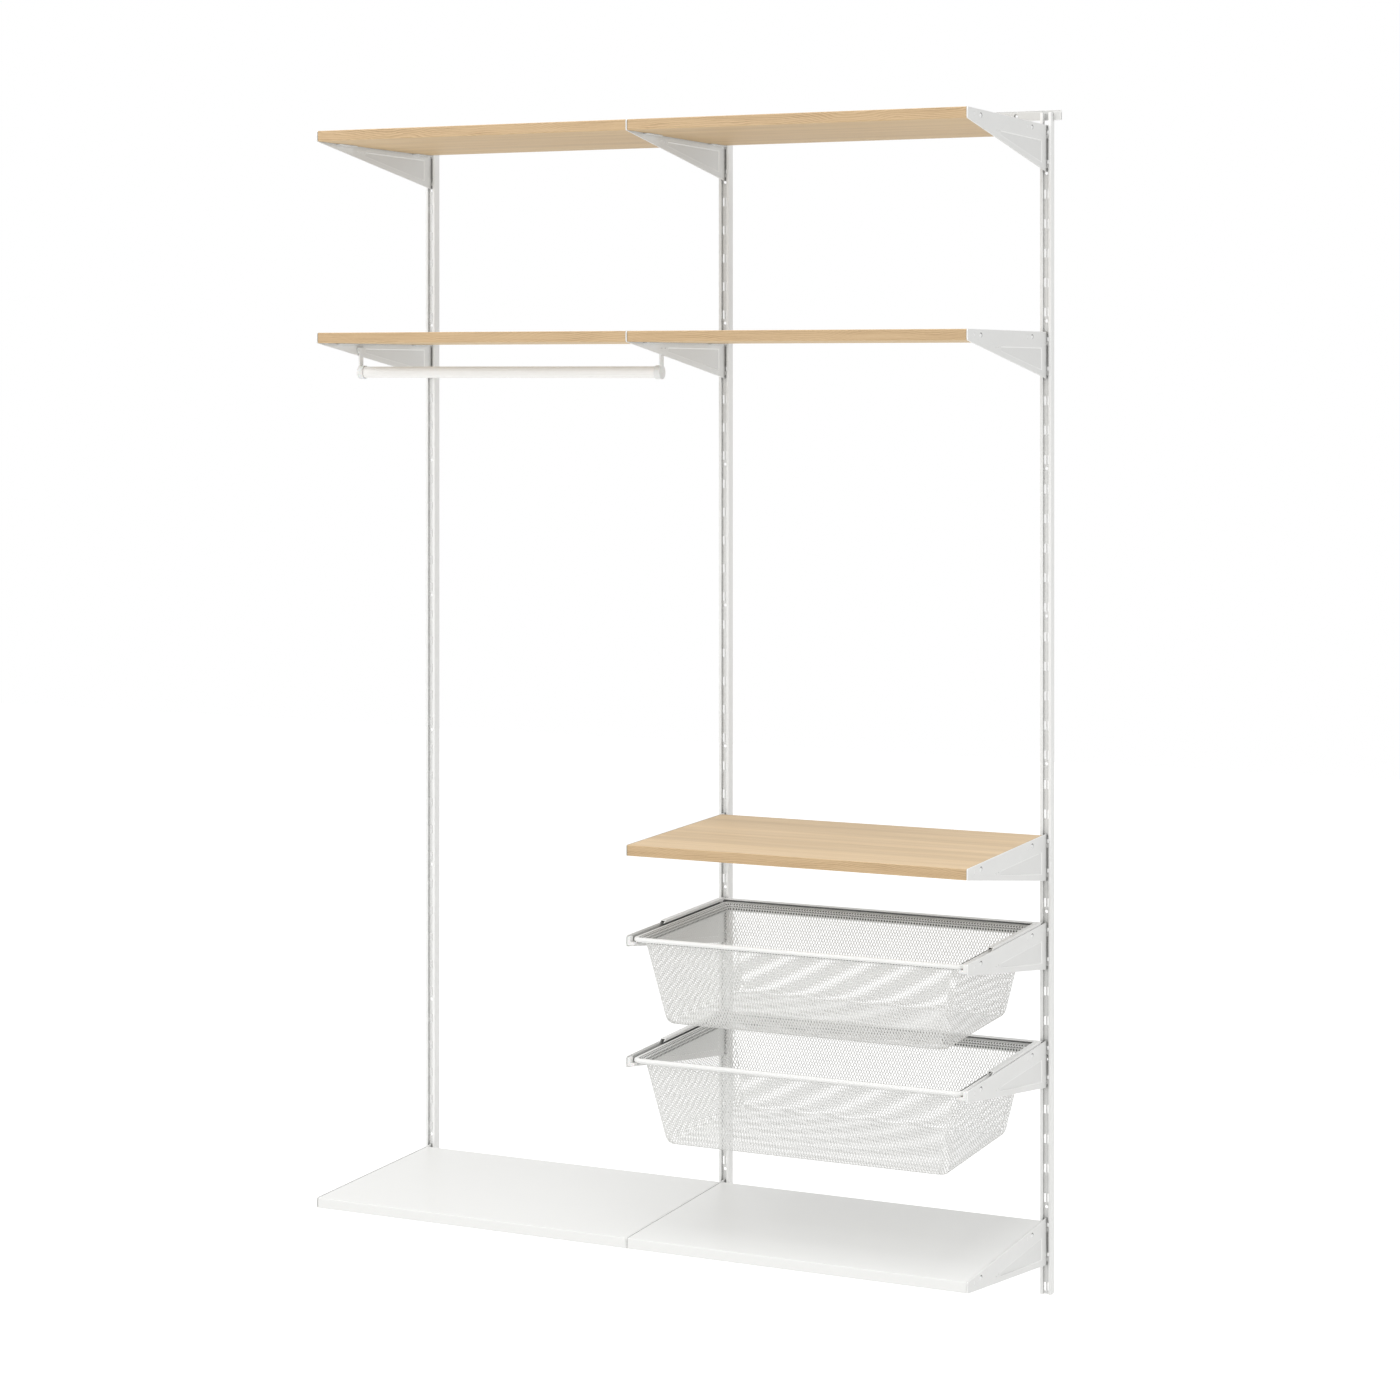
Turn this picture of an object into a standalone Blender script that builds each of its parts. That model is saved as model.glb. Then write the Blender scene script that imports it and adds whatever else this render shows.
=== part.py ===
# Wall mounted closet system: a notched hanging rail, three slotted uprights, hook-in shelf brackets,
# oak and white shelves, a clothes rail, and two mesh baskets that pull out on retaining runners.
# Frame: X runs along the wall with 0 at the middle upright, the wall is the plane Y = 0 with the
# object on its -Y side, and Z = 0 is the lower end of the uprights. Lengths are in metres.

import math

import bmesh
import bpy

MM = 0.001
SEAT_GAP = 0.3 * MM  # between two pieces that touch in the real object

# Rhythm of the whole system
UPRIGHT_PITCH = 600 * MM
SLOT_PITCH = 50 * MM
FIRST_SLOT_CENTRE = 12.5 * MM
SLOT_ROWS = 40
LAST_SLOT_MARGIN = 37.5 * MM  # from the centre of the top row to the upright's end
UPRIGHT_HEIGHT = FIRST_SLOT_CENTRE + (SLOT_ROWS - 1) * SLOT_PITCH + LAST_SLOT_MARGIN
UPRIGHT_CENTRES = {
    "left": -UPRIGHT_PITCH,
    "middle": 0 * MM,
    "right": UPRIGHT_PITCH,
}

# Upright: one folded sheet, seen from above as a wide M with its legs on the wall
UPRIGHT_HALF_WIDTH = 10 * MM
UPRIGHT_DEPTH = 17 * MM
UPRIGHT_SHEET = 1.4 * MM
GROOVE_HALF_WIDTH = 4.7 * MM
GROOVE_DEPTH = 5.5 * MM
UPRIGHT_BEND = 1.2 * MM
BEND_STEPS = 2
WEB_FRONT = -(UPRIGHT_DEPTH - GROOVE_DEPTH)
WEB_BACK = WEB_FRONT + UPRIGHT_SHEET
SLOT_HEIGHT = 15 * MM
SLOT_INNER_X = 1.4 * MM
SLOT_OUTER_X = 4.2 * MM
SCREW_HOLE_RADIUS = 2.8 * MM
SCREW_HOLE_STEP_ROWS = 5
SCREW_HOLE_FIRST_ROW = 3
SCREW_HOLE_UNDER_ROW = 15 * MM  # from the centre of the slot row above it
SCREW_HOLE_FIRST = FIRST_SLOT_CENTRE + SCREW_HOLE_FIRST_ROW * SLOT_PITCH - SCREW_HOLE_UNDER_ROW
SCREW_HOLE_PITCH = SCREW_HOLE_STEP_ROWS * SLOT_PITCH
SCREW_HOLE_COUNT = SLOT_ROWS // SCREW_HOLE_STEP_ROWS
ROUND_STEPS = 8
TOP_WINDOW_HALF_WIDTH = 3.6 * MM
TOP_WINDOW_HEIGHT = 21 * MM
TOP_WINDOW_BOTTOM = UPRIGHT_HEIGHT - TOP_WINDOW_HEIGHT
CUT_OVER = 1 * MM  # how far a cutter passes the surface it breaks through

# Bracket: a flat plate in the middle of the groove, with its hooks splayed into both slot columns
PLATE_SHEET = 2 * MM
PLATE_RIGHT_OFFSET = PLATE_SHEET / 2  # the plate's right face, from its upright's centre
PLATE_LEFT_OFFSET = -PLATE_SHEET / 2
PLATE_FRONT = -400 * MM
PLATE_BACK = WEB_FRONT - SEAT_GAP
PLATE_BACK_HEIGHT = 79.6 * MM
SHELF_THICKNESS = 18 * MM
PLATE_FRONT_BOTTOM = PLATE_BACK_HEIGHT - SHELF_THICKNESS
PLATE_CORNER = 3 * MM
CORNER_STEPS = 3
LOWER_SLOT_CENTRE_IN_PLATE = 13 * MM
LEVEL_BASE = FIRST_SLOT_CENTRE + SLOT_PITCH - LOWER_SLOT_CENTRE_IN_PLATE
HOOK_SIDE_GAP = 0.4 * MM  # from a prong to the side of its slot
HOOK_INNER_X = SLOT_INNER_X + HOOK_SIDE_GAP
HOOK_OUTER_X = SLOT_OUTER_X - HOOK_SIDE_GAP
HOOK_ROWS = 2
HOOK_NECK_HEIGHT = 8 * MM
HOOK_DROP = 5.5 * MM
HOOK_THICKNESS = 2 * MM
HOOK_CHAMFER = 1 * MM
HOOK_FRONT = WEB_BACK + SEAT_GAP
HOOK_BACK = HOOK_FRONT + HOOK_THICKNESS
SADDLE_SIDE_INSET = 0.5 * MM  # from the prongs' outer sides
SADDLE_WEB_GAP = 0.5 * MM
SADDLE_DEPTH = 2 * MM
SADDLE_HALF_WIDTH = HOOK_OUTER_X - SADDLE_SIDE_INSET
SADDLE_BACK = WEB_FRONT - SADDLE_WEB_GAP
SADDLE_FRONT = SADDLE_BACK - SADDLE_DEPTH
SADDLE_INSET = 1 * MM  # the saddle bar is this much lower than the prongs' necks at each edge
PRONG_ROOT = (SADDLE_FRONT + SADDLE_BACK) / 2

# Pressed panel that stiffens the lower back of each plate, as (y, height in the plate)
PANEL_CORNERS = (
    (-246 * MM, 46.8 * MM),
    (-37.5 * MM, 14.2 * MM),
    (-37.5 * MM, 52.6 * MM),
    (-242 * MM, 53.2 * MM),
)
PANEL_DEPTH = 1 * MM
PANEL_SLOPE = 1.6 * MM

# Openings in the plate
FIXING_HEIGHT = 70 * MM
FIXING_HOLE_RADIUS = 3.2 * MM
FIXING_HOLES_Y = (-340.5 * MM, -90 * MM)
FIXING_SLITS_Y = (-369 * MM, -111.5 * MM)
SLIT_WIDTH = 3 * MM
SLIT_HEIGHT = 7 * MM
PIN_HOLE_RADIUS = 1.5 * MM
PIN_HOLES_Y = (-267.5 * MM, -254.5 * MM)
PIN_HOLE_HEIGHT = 52 * MM
SMALL_ROUND_STEPS = 6

# Tabs that a shelf lies on
TAB_LENGTH = 56 * MM
TAB_CENTRES_Y = (-310 * MM, -54 * MM)
TAB_REACH = 10 * MM
TAB_SHEET = 1.5 * MM
TAB_TOP = PLATE_FRONT_BOTTOM - SEAT_GAP
TAB_CORNER = 3 * MM
TAB_CORNER_STEPS = 1

# Levels, counted in slot rows above the lowest bracket position
LEVEL_ROWS = {
    "bottom": 0,
    "basket_lower": 6,
    "basket_upper": 10,
    "third": 13,
    "second": 30,
    "top": 37,
}

# Shelves, held between two plates
SHELF_SIDE_GAP = 0.5 * MM
SHELF_FRONT = PLATE_FRONT + SEAT_GAP
SHELF_BACK = -30 * MM
SHELF_EDGE = 0.8 * MM
SHELF_EDGE_STEPS = 1
PAN_SHEET = 1.2 * MM
PAN_RETURN = 7 * MM
PAN_EDGE = 1.6 * MM
PAN_EDGE_STEPS = 2
PAN_RIB_HALF_WIDTH = 20 * MM
PAN_RIB_DEPTH = 12 * MM

# Hanging rail: an upward open trough screwed to the wall
RAIL_OVERHANG = 23.5 * MM  # past the outer upright's centre line
RAIL_LENGTH = UPRIGHT_PITCH + RAIL_OVERHANG
RAIL_JOINT_GAP = SEAT_GAP
RAIL_RISE = 5 * MM  # over the uprights' ends
RAIL_HEIGHT = 17.3 * MM
RAIL_FRONT_DROP = 2.5 * MM  # from the back sheet's edge to the front one's
RAIL_NOTCH_DEPTH = 6.5 * MM
RAIL_TOP = UPRIGHT_HEIGHT + RAIL_RISE
RAIL_BOTTOM = RAIL_TOP - RAIL_HEIGHT
RAIL_FRONT_TOP = RAIL_TOP - RAIL_FRONT_DROP
RAIL_NOTCH_BOTTOM = RAIL_FRONT_TOP - RAIL_NOTCH_DEPTH
RAIL_SHEET = 1.2 * MM
RAIL_DEPTH = 5 * MM
RAIL_NOTCH_HALF_WIDTH = UPRIGHT_HALF_WIDTH + SEAT_GAP
RAIL_SCREW_SPOTS = (82 * MM, 236 * MM, 389 * MM, 543 * MM)
RAIL_SCREW_RISE = 8.8 * MM
RAIL_SCREW_HEIGHT = RAIL_BOTTOM + RAIL_SCREW_RISE
RAIL_ACCESS_RADIUS = 4.2 * MM
RAIL_SCREW_RADIUS = 2.4 * MM
FINGER_TOP = RAIL_NOTCH_BOTTOM + SEAT_GAP
FINGER_FLOOR_GAP = 1.3 * MM
FINGER_BOTTOM = RAIL_BOTTOM + RAIL_SHEET + FINGER_FLOOR_GAP
FINGER_FRONT = -(RAIL_DEPTH - RAIL_SHEET - SEAT_GAP)
FINGER_BACK = -(RAIL_SHEET + SEAT_GAP)
RAIL_CLEAR_FRONT = -(RAIL_DEPTH + SEAT_GAP)
RAIL_CLEAR_BOTTOM = RAIL_BOTTOM - SEAT_GAP

# Clothes rail under the second left shelf
TUBE_RADIUS = 10 * MM
TUBE_WALL = 1.2 * MM
TUBE_Y = sum(PIN_HOLES_Y) / len(PIN_HOLES_Y)
TUBE_DROP = 11 * MM  # height of the tube's axis above the plate's lower back corner
TUBE_STEPS = 24
HANGER_SHEET = 3 * MM
HANGER_HALF_WIDTH = 5.5 * MM
HANGER_HEAD_HALF_WIDTH = 10.5 * MM
HANGER_HEAD_HEIGHT = 6 * MM
HANGER_DISC_RADIUS = 12 * MM
CUP_DEPTH = 8 * MM
CUP_STEPS = 20
PIN_RADIUS = PIN_HOLE_RADIUS - SEAT_GAP

# Basket: rim wire centre line, then the pan that hangs inside it
RIM_RADIUS = 4 * MM
RIM_HEIGHT = 73 * MM
RIM_SIDE_CLEAR = 7 * MM  # from a plate's face to the outside of the rim wire
RIM_FRONT = -393.5 * MM
RIM_BACK = -34 * MM
RIM_CORNER = 10 * MM
RIM_CORNER_STEPS = 5
RIM_BEVEL_STEPS = 2
PAN_CORNER_STEPS = 5
PAN_WALL = 1.2 * MM
PAN_LEVELS = (
    # (height in the plate, inset from the rim's centre line in X, front inset, back inset, corner radius)
    (73.5 * MM, 4.3 * MM, 4.3 * MM, 4.3 * MM, 8 * MM),
    (71 * MM, 10.5 * MM, 12.5 * MM, 13.5 * MM, 9 * MM),
    (-60 * MM, 37 * MM, 33.5 * MM, 33.5 * MM, 12 * MM),
    (-68 * MM, 40.5 * MM, 37 * MM, 37 * MM, 12 * MM),
    (-71 * MM, 47 * MM, 44 * MM, 44 * MM, 10 * MM),
)

# Plain grid of openings in the pan, which stands for its mesh
GRID_COLUMNS = {"long": 6, "short": 3}
GRID_WALL_ROWS = 1
GRID_BAR = 14 * MM
GRID_HEM = 9 * MM  # solid strip under the collar
GRID_FOOT = 2 * MM  # solid strip over the lower bend

# Basket runner: one roll-formed strip per side, as (x from the plate's face, height in the plate)
RUNNER_SHEET = 1.2 * MM
RUNNER_WALL_X = SEAT_GAP
RUNNER_FLOOR_REACH = 14 * MM
RUNNER_FLOOR_TOP = RIM_HEIGHT - RIM_RADIUS - SEAT_GAP
RUNNER_BOTTOM = 64 * MM
RUNNER_FRONT_TOP = 78 * MM
RUNNER_LIP_TOP = 84 * MM
RUNNER_LIP_REACH = 9.5 * MM
RUNNER_LIP_FOLD_BOTTOM = 79.5 * MM
RUNNER_HEM_GAP = 0.9 * MM
RUNNER_FRONT = -388 * MM
RUNNER_BACK = -36.5 * MM
LIP_START = -268 * MM
LIP_NOSE = 14 * MM
BOSS_RADIUS = FIXING_HOLE_RADIUS - SEAT_GAP
BOSS_REACH = 1.6 * MM

# Plastic end cap in front of each runner, and the channel across both runners' back ends
CAP_FRONT_INSET = 0.5 * MM
CAP_FRONT = PLATE_FRONT + CAP_FRONT_INSET
CAP_BACK = RUNNER_FRONT - SEAT_GAP
CAP_WIDTH = 6.5 * MM
CAP_BOTTOM = RUNNER_BOTTOM
CAP_EDGE = 1 * MM
CAP_EDGE_STEPS = 2
CAP_PLUG_LENGTH = 8 * MM
CAP_PLUG_ROOT = 1 * MM  # how deep the plug starts inside the cap
CAP_PLUG_START = CAP_BACK - CAP_PLUG_ROOT
BACK_CHANNEL_FRONT = RUNNER_BACK + SEAT_GAP
BACK_CHANNEL_BACK = -24 * MM
BACK_CHANNEL_TOP = 81.5 * MM
BACK_CHANNEL_BOTTOM = RUNNER_BOTTOM
BACK_CHANNEL_SHEET = 1.2 * MM
BACK_CHANNEL_SIDE = 1.8 * MM
BACK_CHANNEL_LIP = 5 * MM


def clear_scene():
    for item in list(bpy.data.objects):
        bpy.data.objects.remove(item, do_unlink=True)


def make_material(name, colour, roughness, metallic=0.0, coat=0.0):
    material = bpy.data.materials.new(name)
    material.use_nodes = True
    shader = material.node_tree.nodes["Principled BSDF"]
    shader.inputs["Base Color"].default_value = (*colour, 1.0)
    shader.inputs["Roughness"].default_value = roughness
    shader.inputs["Metallic"].default_value = metallic
    shader.inputs["Coat Weight"].default_value = coat
    return material


def object_from(name, mesh_work, material=None):
    """A scene object from bmesh work, with its faces turned outwards."""
    bmesh.ops.recalc_face_normals(mesh_work, faces=mesh_work.faces)
    data = bpy.data.meshes.new(name)
    mesh_work.to_mesh(data)
    mesh_work.free()
    made = bpy.data.objects.new(name, data)
    bpy.context.scene.collection.objects.link(made)
    if material:
        data.materials.append(material)
    return made


def add_prism(mesh_work, outline, along, start, end):
    """Adds a straight prism. The outline is (y, z) along X, (x, z) along Y or (x, y) along Z."""
    place = {
        "X": lambda a, b, at: (at, a, b),
        "Y": lambda a, b, at: (a, at, b),
        "Z": lambda a, b, at: (a, b, at),
    }[along]
    first = [mesh_work.verts.new(place(a, b, start)) for a, b in outline]
    second = [mesh_work.verts.new(place(a, b, end)) for a, b in outline]
    mesh_work.faces.new(first)
    mesh_work.faces.new(list(reversed(second)))
    for here in range(len(outline)):
        there = (here + 1) % len(outline)
        mesh_work.faces.new((first[here], second[here], second[there], first[there]))


def box_outline(a_low, a_high, b_low, b_high):
    return [(a_low, b_low), (a_high, b_low), (a_high, b_high), (a_low, b_high)]


def circle_outline(a_centre, b_centre, radius, steps):
    return [
        (
            a_centre + radius * math.cos(math.tau * step / steps),
            b_centre + radius * math.sin(math.tau * step / steps),
        )
        for step in range(steps)
    ]


def rounded_outline(corners, radius, steps, chosen=None):
    """The outline with an arc at every corner, or at the chosen ones. It keeps the corners' order."""
    rounded = []
    for index, corner in enumerate(corners):
        if chosen is not None and index not in chosen:
            rounded.append(corner)
            continue
        before = corners[index - 1]
        after = corners[(index + 1) % len(corners)]
        into = (corner[0] - before[0], corner[1] - before[1])
        out = (after[0] - corner[0], after[1] - corner[1])
        into_length = math.hypot(*into)
        out_length = math.hypot(*out)
        into = (into[0] / into_length, into[1] / into_length)
        out = (out[0] / out_length, out[1] / out_length)
        turn = math.atan2(into[0] * out[1] - into[1] * out[0], into[0] * out[0] + into[1] * out[1])
        reach = radius * math.tan(abs(turn) / 2)
        side = math.copysign(1, turn)
        centre = (
            corner[0] - into[0] * reach - side * into[1] * radius,
            corner[1] - into[1] * reach + side * into[0] * radius,
        )
        start_angle = math.atan2(-side * into[0], side * into[1])
        for step in range(steps + 1):
            angle = start_angle + turn * step / steps
            rounded.append((centre[0] + radius * math.cos(angle), centre[1] + radius * math.sin(angle)))
    return rounded


def cutter_from(name, mesh_work):
    """A helper for Boolean modifiers, left out of the render and so out of the nodes."""
    helper = object_from(name, mesh_work)
    helper.hide_render = True
    helper.display_type = "WIRE"
    return helper


def boolean(target, helper, operation):
    modifier = target.modifiers.new(operation.title() + "_" + helper.name, "BOOLEAN")
    modifier.operation = operation
    modifier.solver = "EXACT"
    modifier.object = helper


def bevel(target, width, steps, angle=math.radians(40)):
    modifier = target.modifiers.new("Edge_softening", "BEVEL")
    modifier.width = width
    modifier.segments = steps
    modifier.limit_method = "ANGLE"
    modifier.angle_limit = angle


def upright_outline(centre):
    """The folded sheet seen from above: the outside run of the M, then the inside run back."""
    outside = [
        (-UPRIGHT_HALF_WIDTH, 0),
        (-UPRIGHT_HALF_WIDTH, -UPRIGHT_DEPTH),
        (-GROOVE_HALF_WIDTH, -UPRIGHT_DEPTH),
        (-GROOVE_HALF_WIDTH, WEB_FRONT),
        (GROOVE_HALF_WIDTH, WEB_FRONT),
        (GROOVE_HALF_WIDTH, -UPRIGHT_DEPTH),
        (UPRIGHT_HALF_WIDTH, -UPRIGHT_DEPTH),
        (UPRIGHT_HALF_WIDTH, 0),
    ]
    leg_inside = UPRIGHT_HALF_WIDTH - UPRIGHT_SHEET
    lip_inside = -UPRIGHT_DEPTH + UPRIGHT_SHEET
    groove_outside = GROOVE_HALF_WIDTH + UPRIGHT_SHEET
    inside = [
        (leg_inside, 0),
        (leg_inside, lip_inside),
        (groove_outside, lip_inside),
        (groove_outside, WEB_BACK),
        (-groove_outside, WEB_BACK),
        (-groove_outside, lip_inside),
        (-leg_inside, lip_inside),
        (-leg_inside, 0),
    ]
    front_bends = (1, 2, 5, 6)
    rounded = rounded_outline(outside + inside, UPRIGHT_BEND, BEND_STEPS, front_bends)
    return [(centre + x, y) for x, y in rounded]


def upright_openings(name, centre):
    """Twin slots on every row, round screw holes, and the notches that fit the hanging rail."""
    work = bmesh.new()
    web_start = WEB_FRONT - CUT_OVER
    web_end = WEB_BACK + CUT_OVER
    for row in range(SLOT_ROWS):
        middle = FIRST_SLOT_CENTRE + row * SLOT_PITCH
        low = middle - SLOT_HEIGHT / 2
        high = middle + SLOT_HEIGHT / 2
        for inner, outer in ((SLOT_INNER_X, SLOT_OUTER_X), (-SLOT_OUTER_X, -SLOT_INNER_X)):
            slot = box_outline(centre + inner, centre + outer, low, high)
            add_prism(work, slot, "Y", web_start, web_end)
    for index in range(SCREW_HOLE_COUNT):
        height = SCREW_HOLE_FIRST + index * SCREW_HOLE_PITCH
        hole = circle_outline(centre, height, SCREW_HOLE_RADIUS, ROUND_STEPS)
        add_prism(work, hole, "Y", web_start, web_end)
    window = box_outline(
        centre - TOP_WINDOW_HALF_WIDTH,
        centre + TOP_WINDOW_HALF_WIDTH,
        TOP_WINDOW_BOTTOM,
        UPRIGHT_HEIGHT + CUT_OVER,
    )
    add_prism(work, window, "Y", web_start, WEB_BACK + CUT_OVER / 10)
    past_top = UPRIGHT_HEIGHT + CUT_OVER
    rail_notch = [
        (RAIL_CLEAR_FRONT, RAIL_CLEAR_BOTTOM),
        (CUT_OVER, RAIL_CLEAR_BOTTOM),
        (CUT_OVER, past_top),
        (FINGER_BACK, past_top),
        (FINGER_BACK, FINGER_BOTTOM),
        (FINGER_FRONT, FINGER_BOTTOM),
        (FINGER_FRONT, FINGER_TOP),
        (RAIL_CLEAR_FRONT, FINGER_TOP),
    ]
    side = UPRIGHT_HALF_WIDTH + CUT_OVER
    add_prism(work, rail_notch, "X", centre - side, centre + side)
    return cutter_from(name + "_openings", work)


def make_upright(name, centre, material):
    work = bmesh.new()
    add_prism(work, upright_outline(centre), "Z", 0, UPRIGHT_HEIGHT)
    upright = object_from(name, work, material)
    boolean(upright, upright_openings(name, centre), "DIFFERENCE")
    return upright


def make_hanging_rail(name, low_x, high_x, material):
    """The trough, notched down wherever an upright's two legs drop their fingers into it."""
    back_face = -RAIL_SHEET
    front_inside = -(RAIL_DEPTH - RAIL_SHEET)
    trough = [
        (0, RAIL_BOTTOM),
        (0, RAIL_TOP),
        (back_face, RAIL_TOP),
        (back_face, RAIL_BOTTOM + RAIL_SHEET),
        (front_inside, RAIL_BOTTOM + RAIL_SHEET),
        (front_inside, RAIL_FRONT_TOP),
        (-RAIL_DEPTH, RAIL_FRONT_TOP),
        (-RAIL_DEPTH, RAIL_BOTTOM),
    ]
    work = bmesh.new()
    add_prism(work, trough, "X", low_x, high_x)
    rail = object_from(name, work, material)
    cuts = bmesh.new()
    gap_middle = (back_face + front_inside) / 2
    for centre in UPRIGHT_CENTRES.values():
        start = max(centre - RAIL_NOTCH_HALF_WIDTH, low_x - CUT_OVER)
        end = min(centre + RAIL_NOTCH_HALF_WIDTH, high_x + CUT_OVER)
        if end - start > RAIL_SHEET:
            notch = box_outline(start, end, RAIL_NOTCH_BOTTOM, RAIL_TOP + CUT_OVER)
            add_prism(cuts, notch, "Y", -RAIL_DEPTH - CUT_OVER, gap_middle)
    for spot in RAIL_SCREW_SPOTS:
        access = circle_outline(low_x + spot, RAIL_SCREW_HEIGHT, RAIL_ACCESS_RADIUS, ROUND_STEPS)
        add_prism(cuts, access, "Y", -RAIL_DEPTH - CUT_OVER, gap_middle)
        screw = circle_outline(low_x + spot, RAIL_SCREW_HEIGHT, RAIL_SCREW_RADIUS, SMALL_ROUND_STEPS)
        add_prism(cuts, screw, "Y", gap_middle, CUT_OVER)
    boolean(rail, cutter_from(name + "_openings", cuts), "DIFFERENCE")
    return rail


def level_height(level):
    """Height of a plate's lower back corner."""
    return LEVEL_BASE + LEVEL_ROWS[level] * SLOT_PITCH


def plate_outline(base):
    """The plate from the side, with its two front corners rounded."""
    outline = [
        (PLATE_BACK, base),
        (PLATE_FRONT, base + PLATE_FRONT_BOTTOM),
        (PLATE_FRONT, base + PLATE_BACK_HEIGHT),
        (PLATE_BACK, base + PLATE_BACK_HEIGHT),
    ]
    return rounded_outline(outline, PLATE_CORNER, CORNER_STEPS, (1, 2))


def hook_helpers(name, centre, base):
    """Two cutters: the bars across the plate's back edge, and the prongs that drop behind the web."""
    bars = bmesh.new()
    prongs = bmesh.new()
    for row in range(HOOK_ROWS):
        slot_floor = base + LOWER_SLOT_CENTRE_IN_PLATE + row * SLOT_PITCH - SLOT_HEIGHT / 2
        rest = slot_floor + SEAT_GAP
        neck_top = rest + HOOK_NECK_HEIGHT
        tip = rest - HOOK_DROP
        bar = box_outline(SADDLE_FRONT, SADDLE_BACK, rest + SADDLE_INSET, neck_top - SADDLE_INSET)
        add_prism(bars, bar, "X", centre - SADDLE_HALF_WIDTH, centre + SADDLE_HALF_WIDTH)
        hook = [
            (PRONG_ROOT, neck_top),
            (HOOK_BACK, neck_top),
            (HOOK_BACK, tip + HOOK_CHAMFER),
            (HOOK_BACK - HOOK_CHAMFER, tip),
            (HOOK_FRONT, tip),
            (HOOK_FRONT, rest),
            (PRONG_ROOT, rest),
        ]
        for side in (-1, 1):
            add_prism(prongs, hook, "X", centre + side * HOOK_INNER_X, centre + side * HOOK_OUTER_X)
    return cutter_from(name + "_saddle", bars), cutter_from(name + "_prongs", prongs)


def add_pressed_step(work, base, face_x, outward_x):
    """A low four-sided frustum over the panel: wide on the plate's face, narrower at the outward end."""
    wide = [(y, base + z) for y, z in PANEL_CORNERS]
    centre_y = sum(y for y, _ in wide) / len(wide)
    centre_z = sum(z for _, z in wide) / len(wide)
    loops = []
    for x, inset in ((face_x, 0), (outward_x, PANEL_SLOPE)):
        loop = []
        for y, z in wide:
            moved_y = y + math.copysign(inset, centre_y - y)
            moved_z = z + math.copysign(inset, centre_z - z)
            loop.append(work.verts.new((x, moved_y, moved_z)))
        loops.append(loop)
    work.faces.new(loops[0])
    work.faces.new(list(reversed(loops[1])))
    for here in range(len(wide)):
        there = (here + 1) % len(wide)
        work.faces.new((loops[0][here], loops[1][here], loops[1][there], loops[0][there]))


def make_bracket(name, centre, level, tab_sides, material):
    base = level_height(level)
    left = centre + PLATE_LEFT_OFFSET
    right = centre + PLATE_RIGHT_OFFSET
    work = bmesh.new()
    add_prism(work, plate_outline(base), "X", left, right)
    bracket = object_from(name, work, material)

    added = bmesh.new()
    inside = PLATE_SHEET / 2
    add_pressed_step(added, base, left + inside, left - PANEL_DEPTH)
    for side in tab_sides:
        root = left + inside
        tip = left - TAB_REACH if side == "left" else right + TAB_REACH
        tip_corners = (0, 1) if side == "left" else (1, 2)
        for middle in TAB_CENTRES_Y:
            low_y = middle - TAB_LENGTH / 2
            high_y = middle + TAB_LENGTH / 2
            corners = (
                [(tip, high_y), (tip, low_y), (root, low_y), (root, high_y)]
                if side == "left"
                else [(root, low_y), (tip, low_y), (tip, high_y), (root, high_y)]
            )
            tab = rounded_outline(corners, TAB_CORNER, TAB_CORNER_STEPS, tip_corners)
            add_prism(added, tab, "Z", base + TAB_TOP - TAB_SHEET, base + TAB_TOP)
    boolean(bracket, cutter_from(name + "_tabs", added), "UNION")
    for helper in hook_helpers(name, centre, base):
        boolean(bracket, helper, "UNION")

    cuts = bmesh.new()
    add_pressed_step(cuts, base, right + CUT_OVER / 10, right - PANEL_DEPTH)
    through = (left - CUT_OVER, right + CUT_OVER)
    for y in FIXING_HOLES_Y:
        hole = circle_outline(y, base + FIXING_HEIGHT, FIXING_HOLE_RADIUS, ROUND_STEPS)
        add_prism(cuts, hole, "X", *through)
    for y in FIXING_SLITS_Y:
        slit = box_outline(
            y - SLIT_WIDTH / 2,
            y + SLIT_WIDTH / 2,
            base + FIXING_HEIGHT - SLIT_HEIGHT / 2,
            base + FIXING_HEIGHT + SLIT_HEIGHT / 2,
        )
        add_prism(cuts, slit, "X", *through)
    for y in PIN_HOLES_Y:
        hole = circle_outline(y, base + PIN_HOLE_HEIGHT, PIN_HOLE_RADIUS, SMALL_ROUND_STEPS)
        add_prism(cuts, hole, "X", *through)
    boolean(bracket, cutter_from(name + "_holes", cuts), "DIFFERENCE")
    return bracket


def bay_limits(bay):
    """The two plate faces that look into a bay."""
    left_upright, right_upright = {"left": ("left", "middle"), "right": ("middle", "right")}[bay]
    low = UPRIGHT_CENTRES[left_upright] + PLATE_RIGHT_OFFSET
    high = UPRIGHT_CENTRES[right_upright] + PLATE_LEFT_OFFSET
    return low, high


def shelf_outline(bay):
    low, high = bay_limits(bay)
    return box_outline(low + SHELF_SIDE_GAP, high - SHELF_SIDE_GAP, SHELF_FRONT, SHELF_BACK)


def make_board(name, bay, level, material):
    base = level_height(level)
    work = bmesh.new()
    bottom = base + PLATE_FRONT_BOTTOM
    add_prism(work, shelf_outline(bay), "Z", bottom, bottom + SHELF_THICKNESS)
    board = object_from(name, work, material)
    bevel(board, SHELF_EDGE, SHELF_EDGE_STEPS)
    return board


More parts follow.
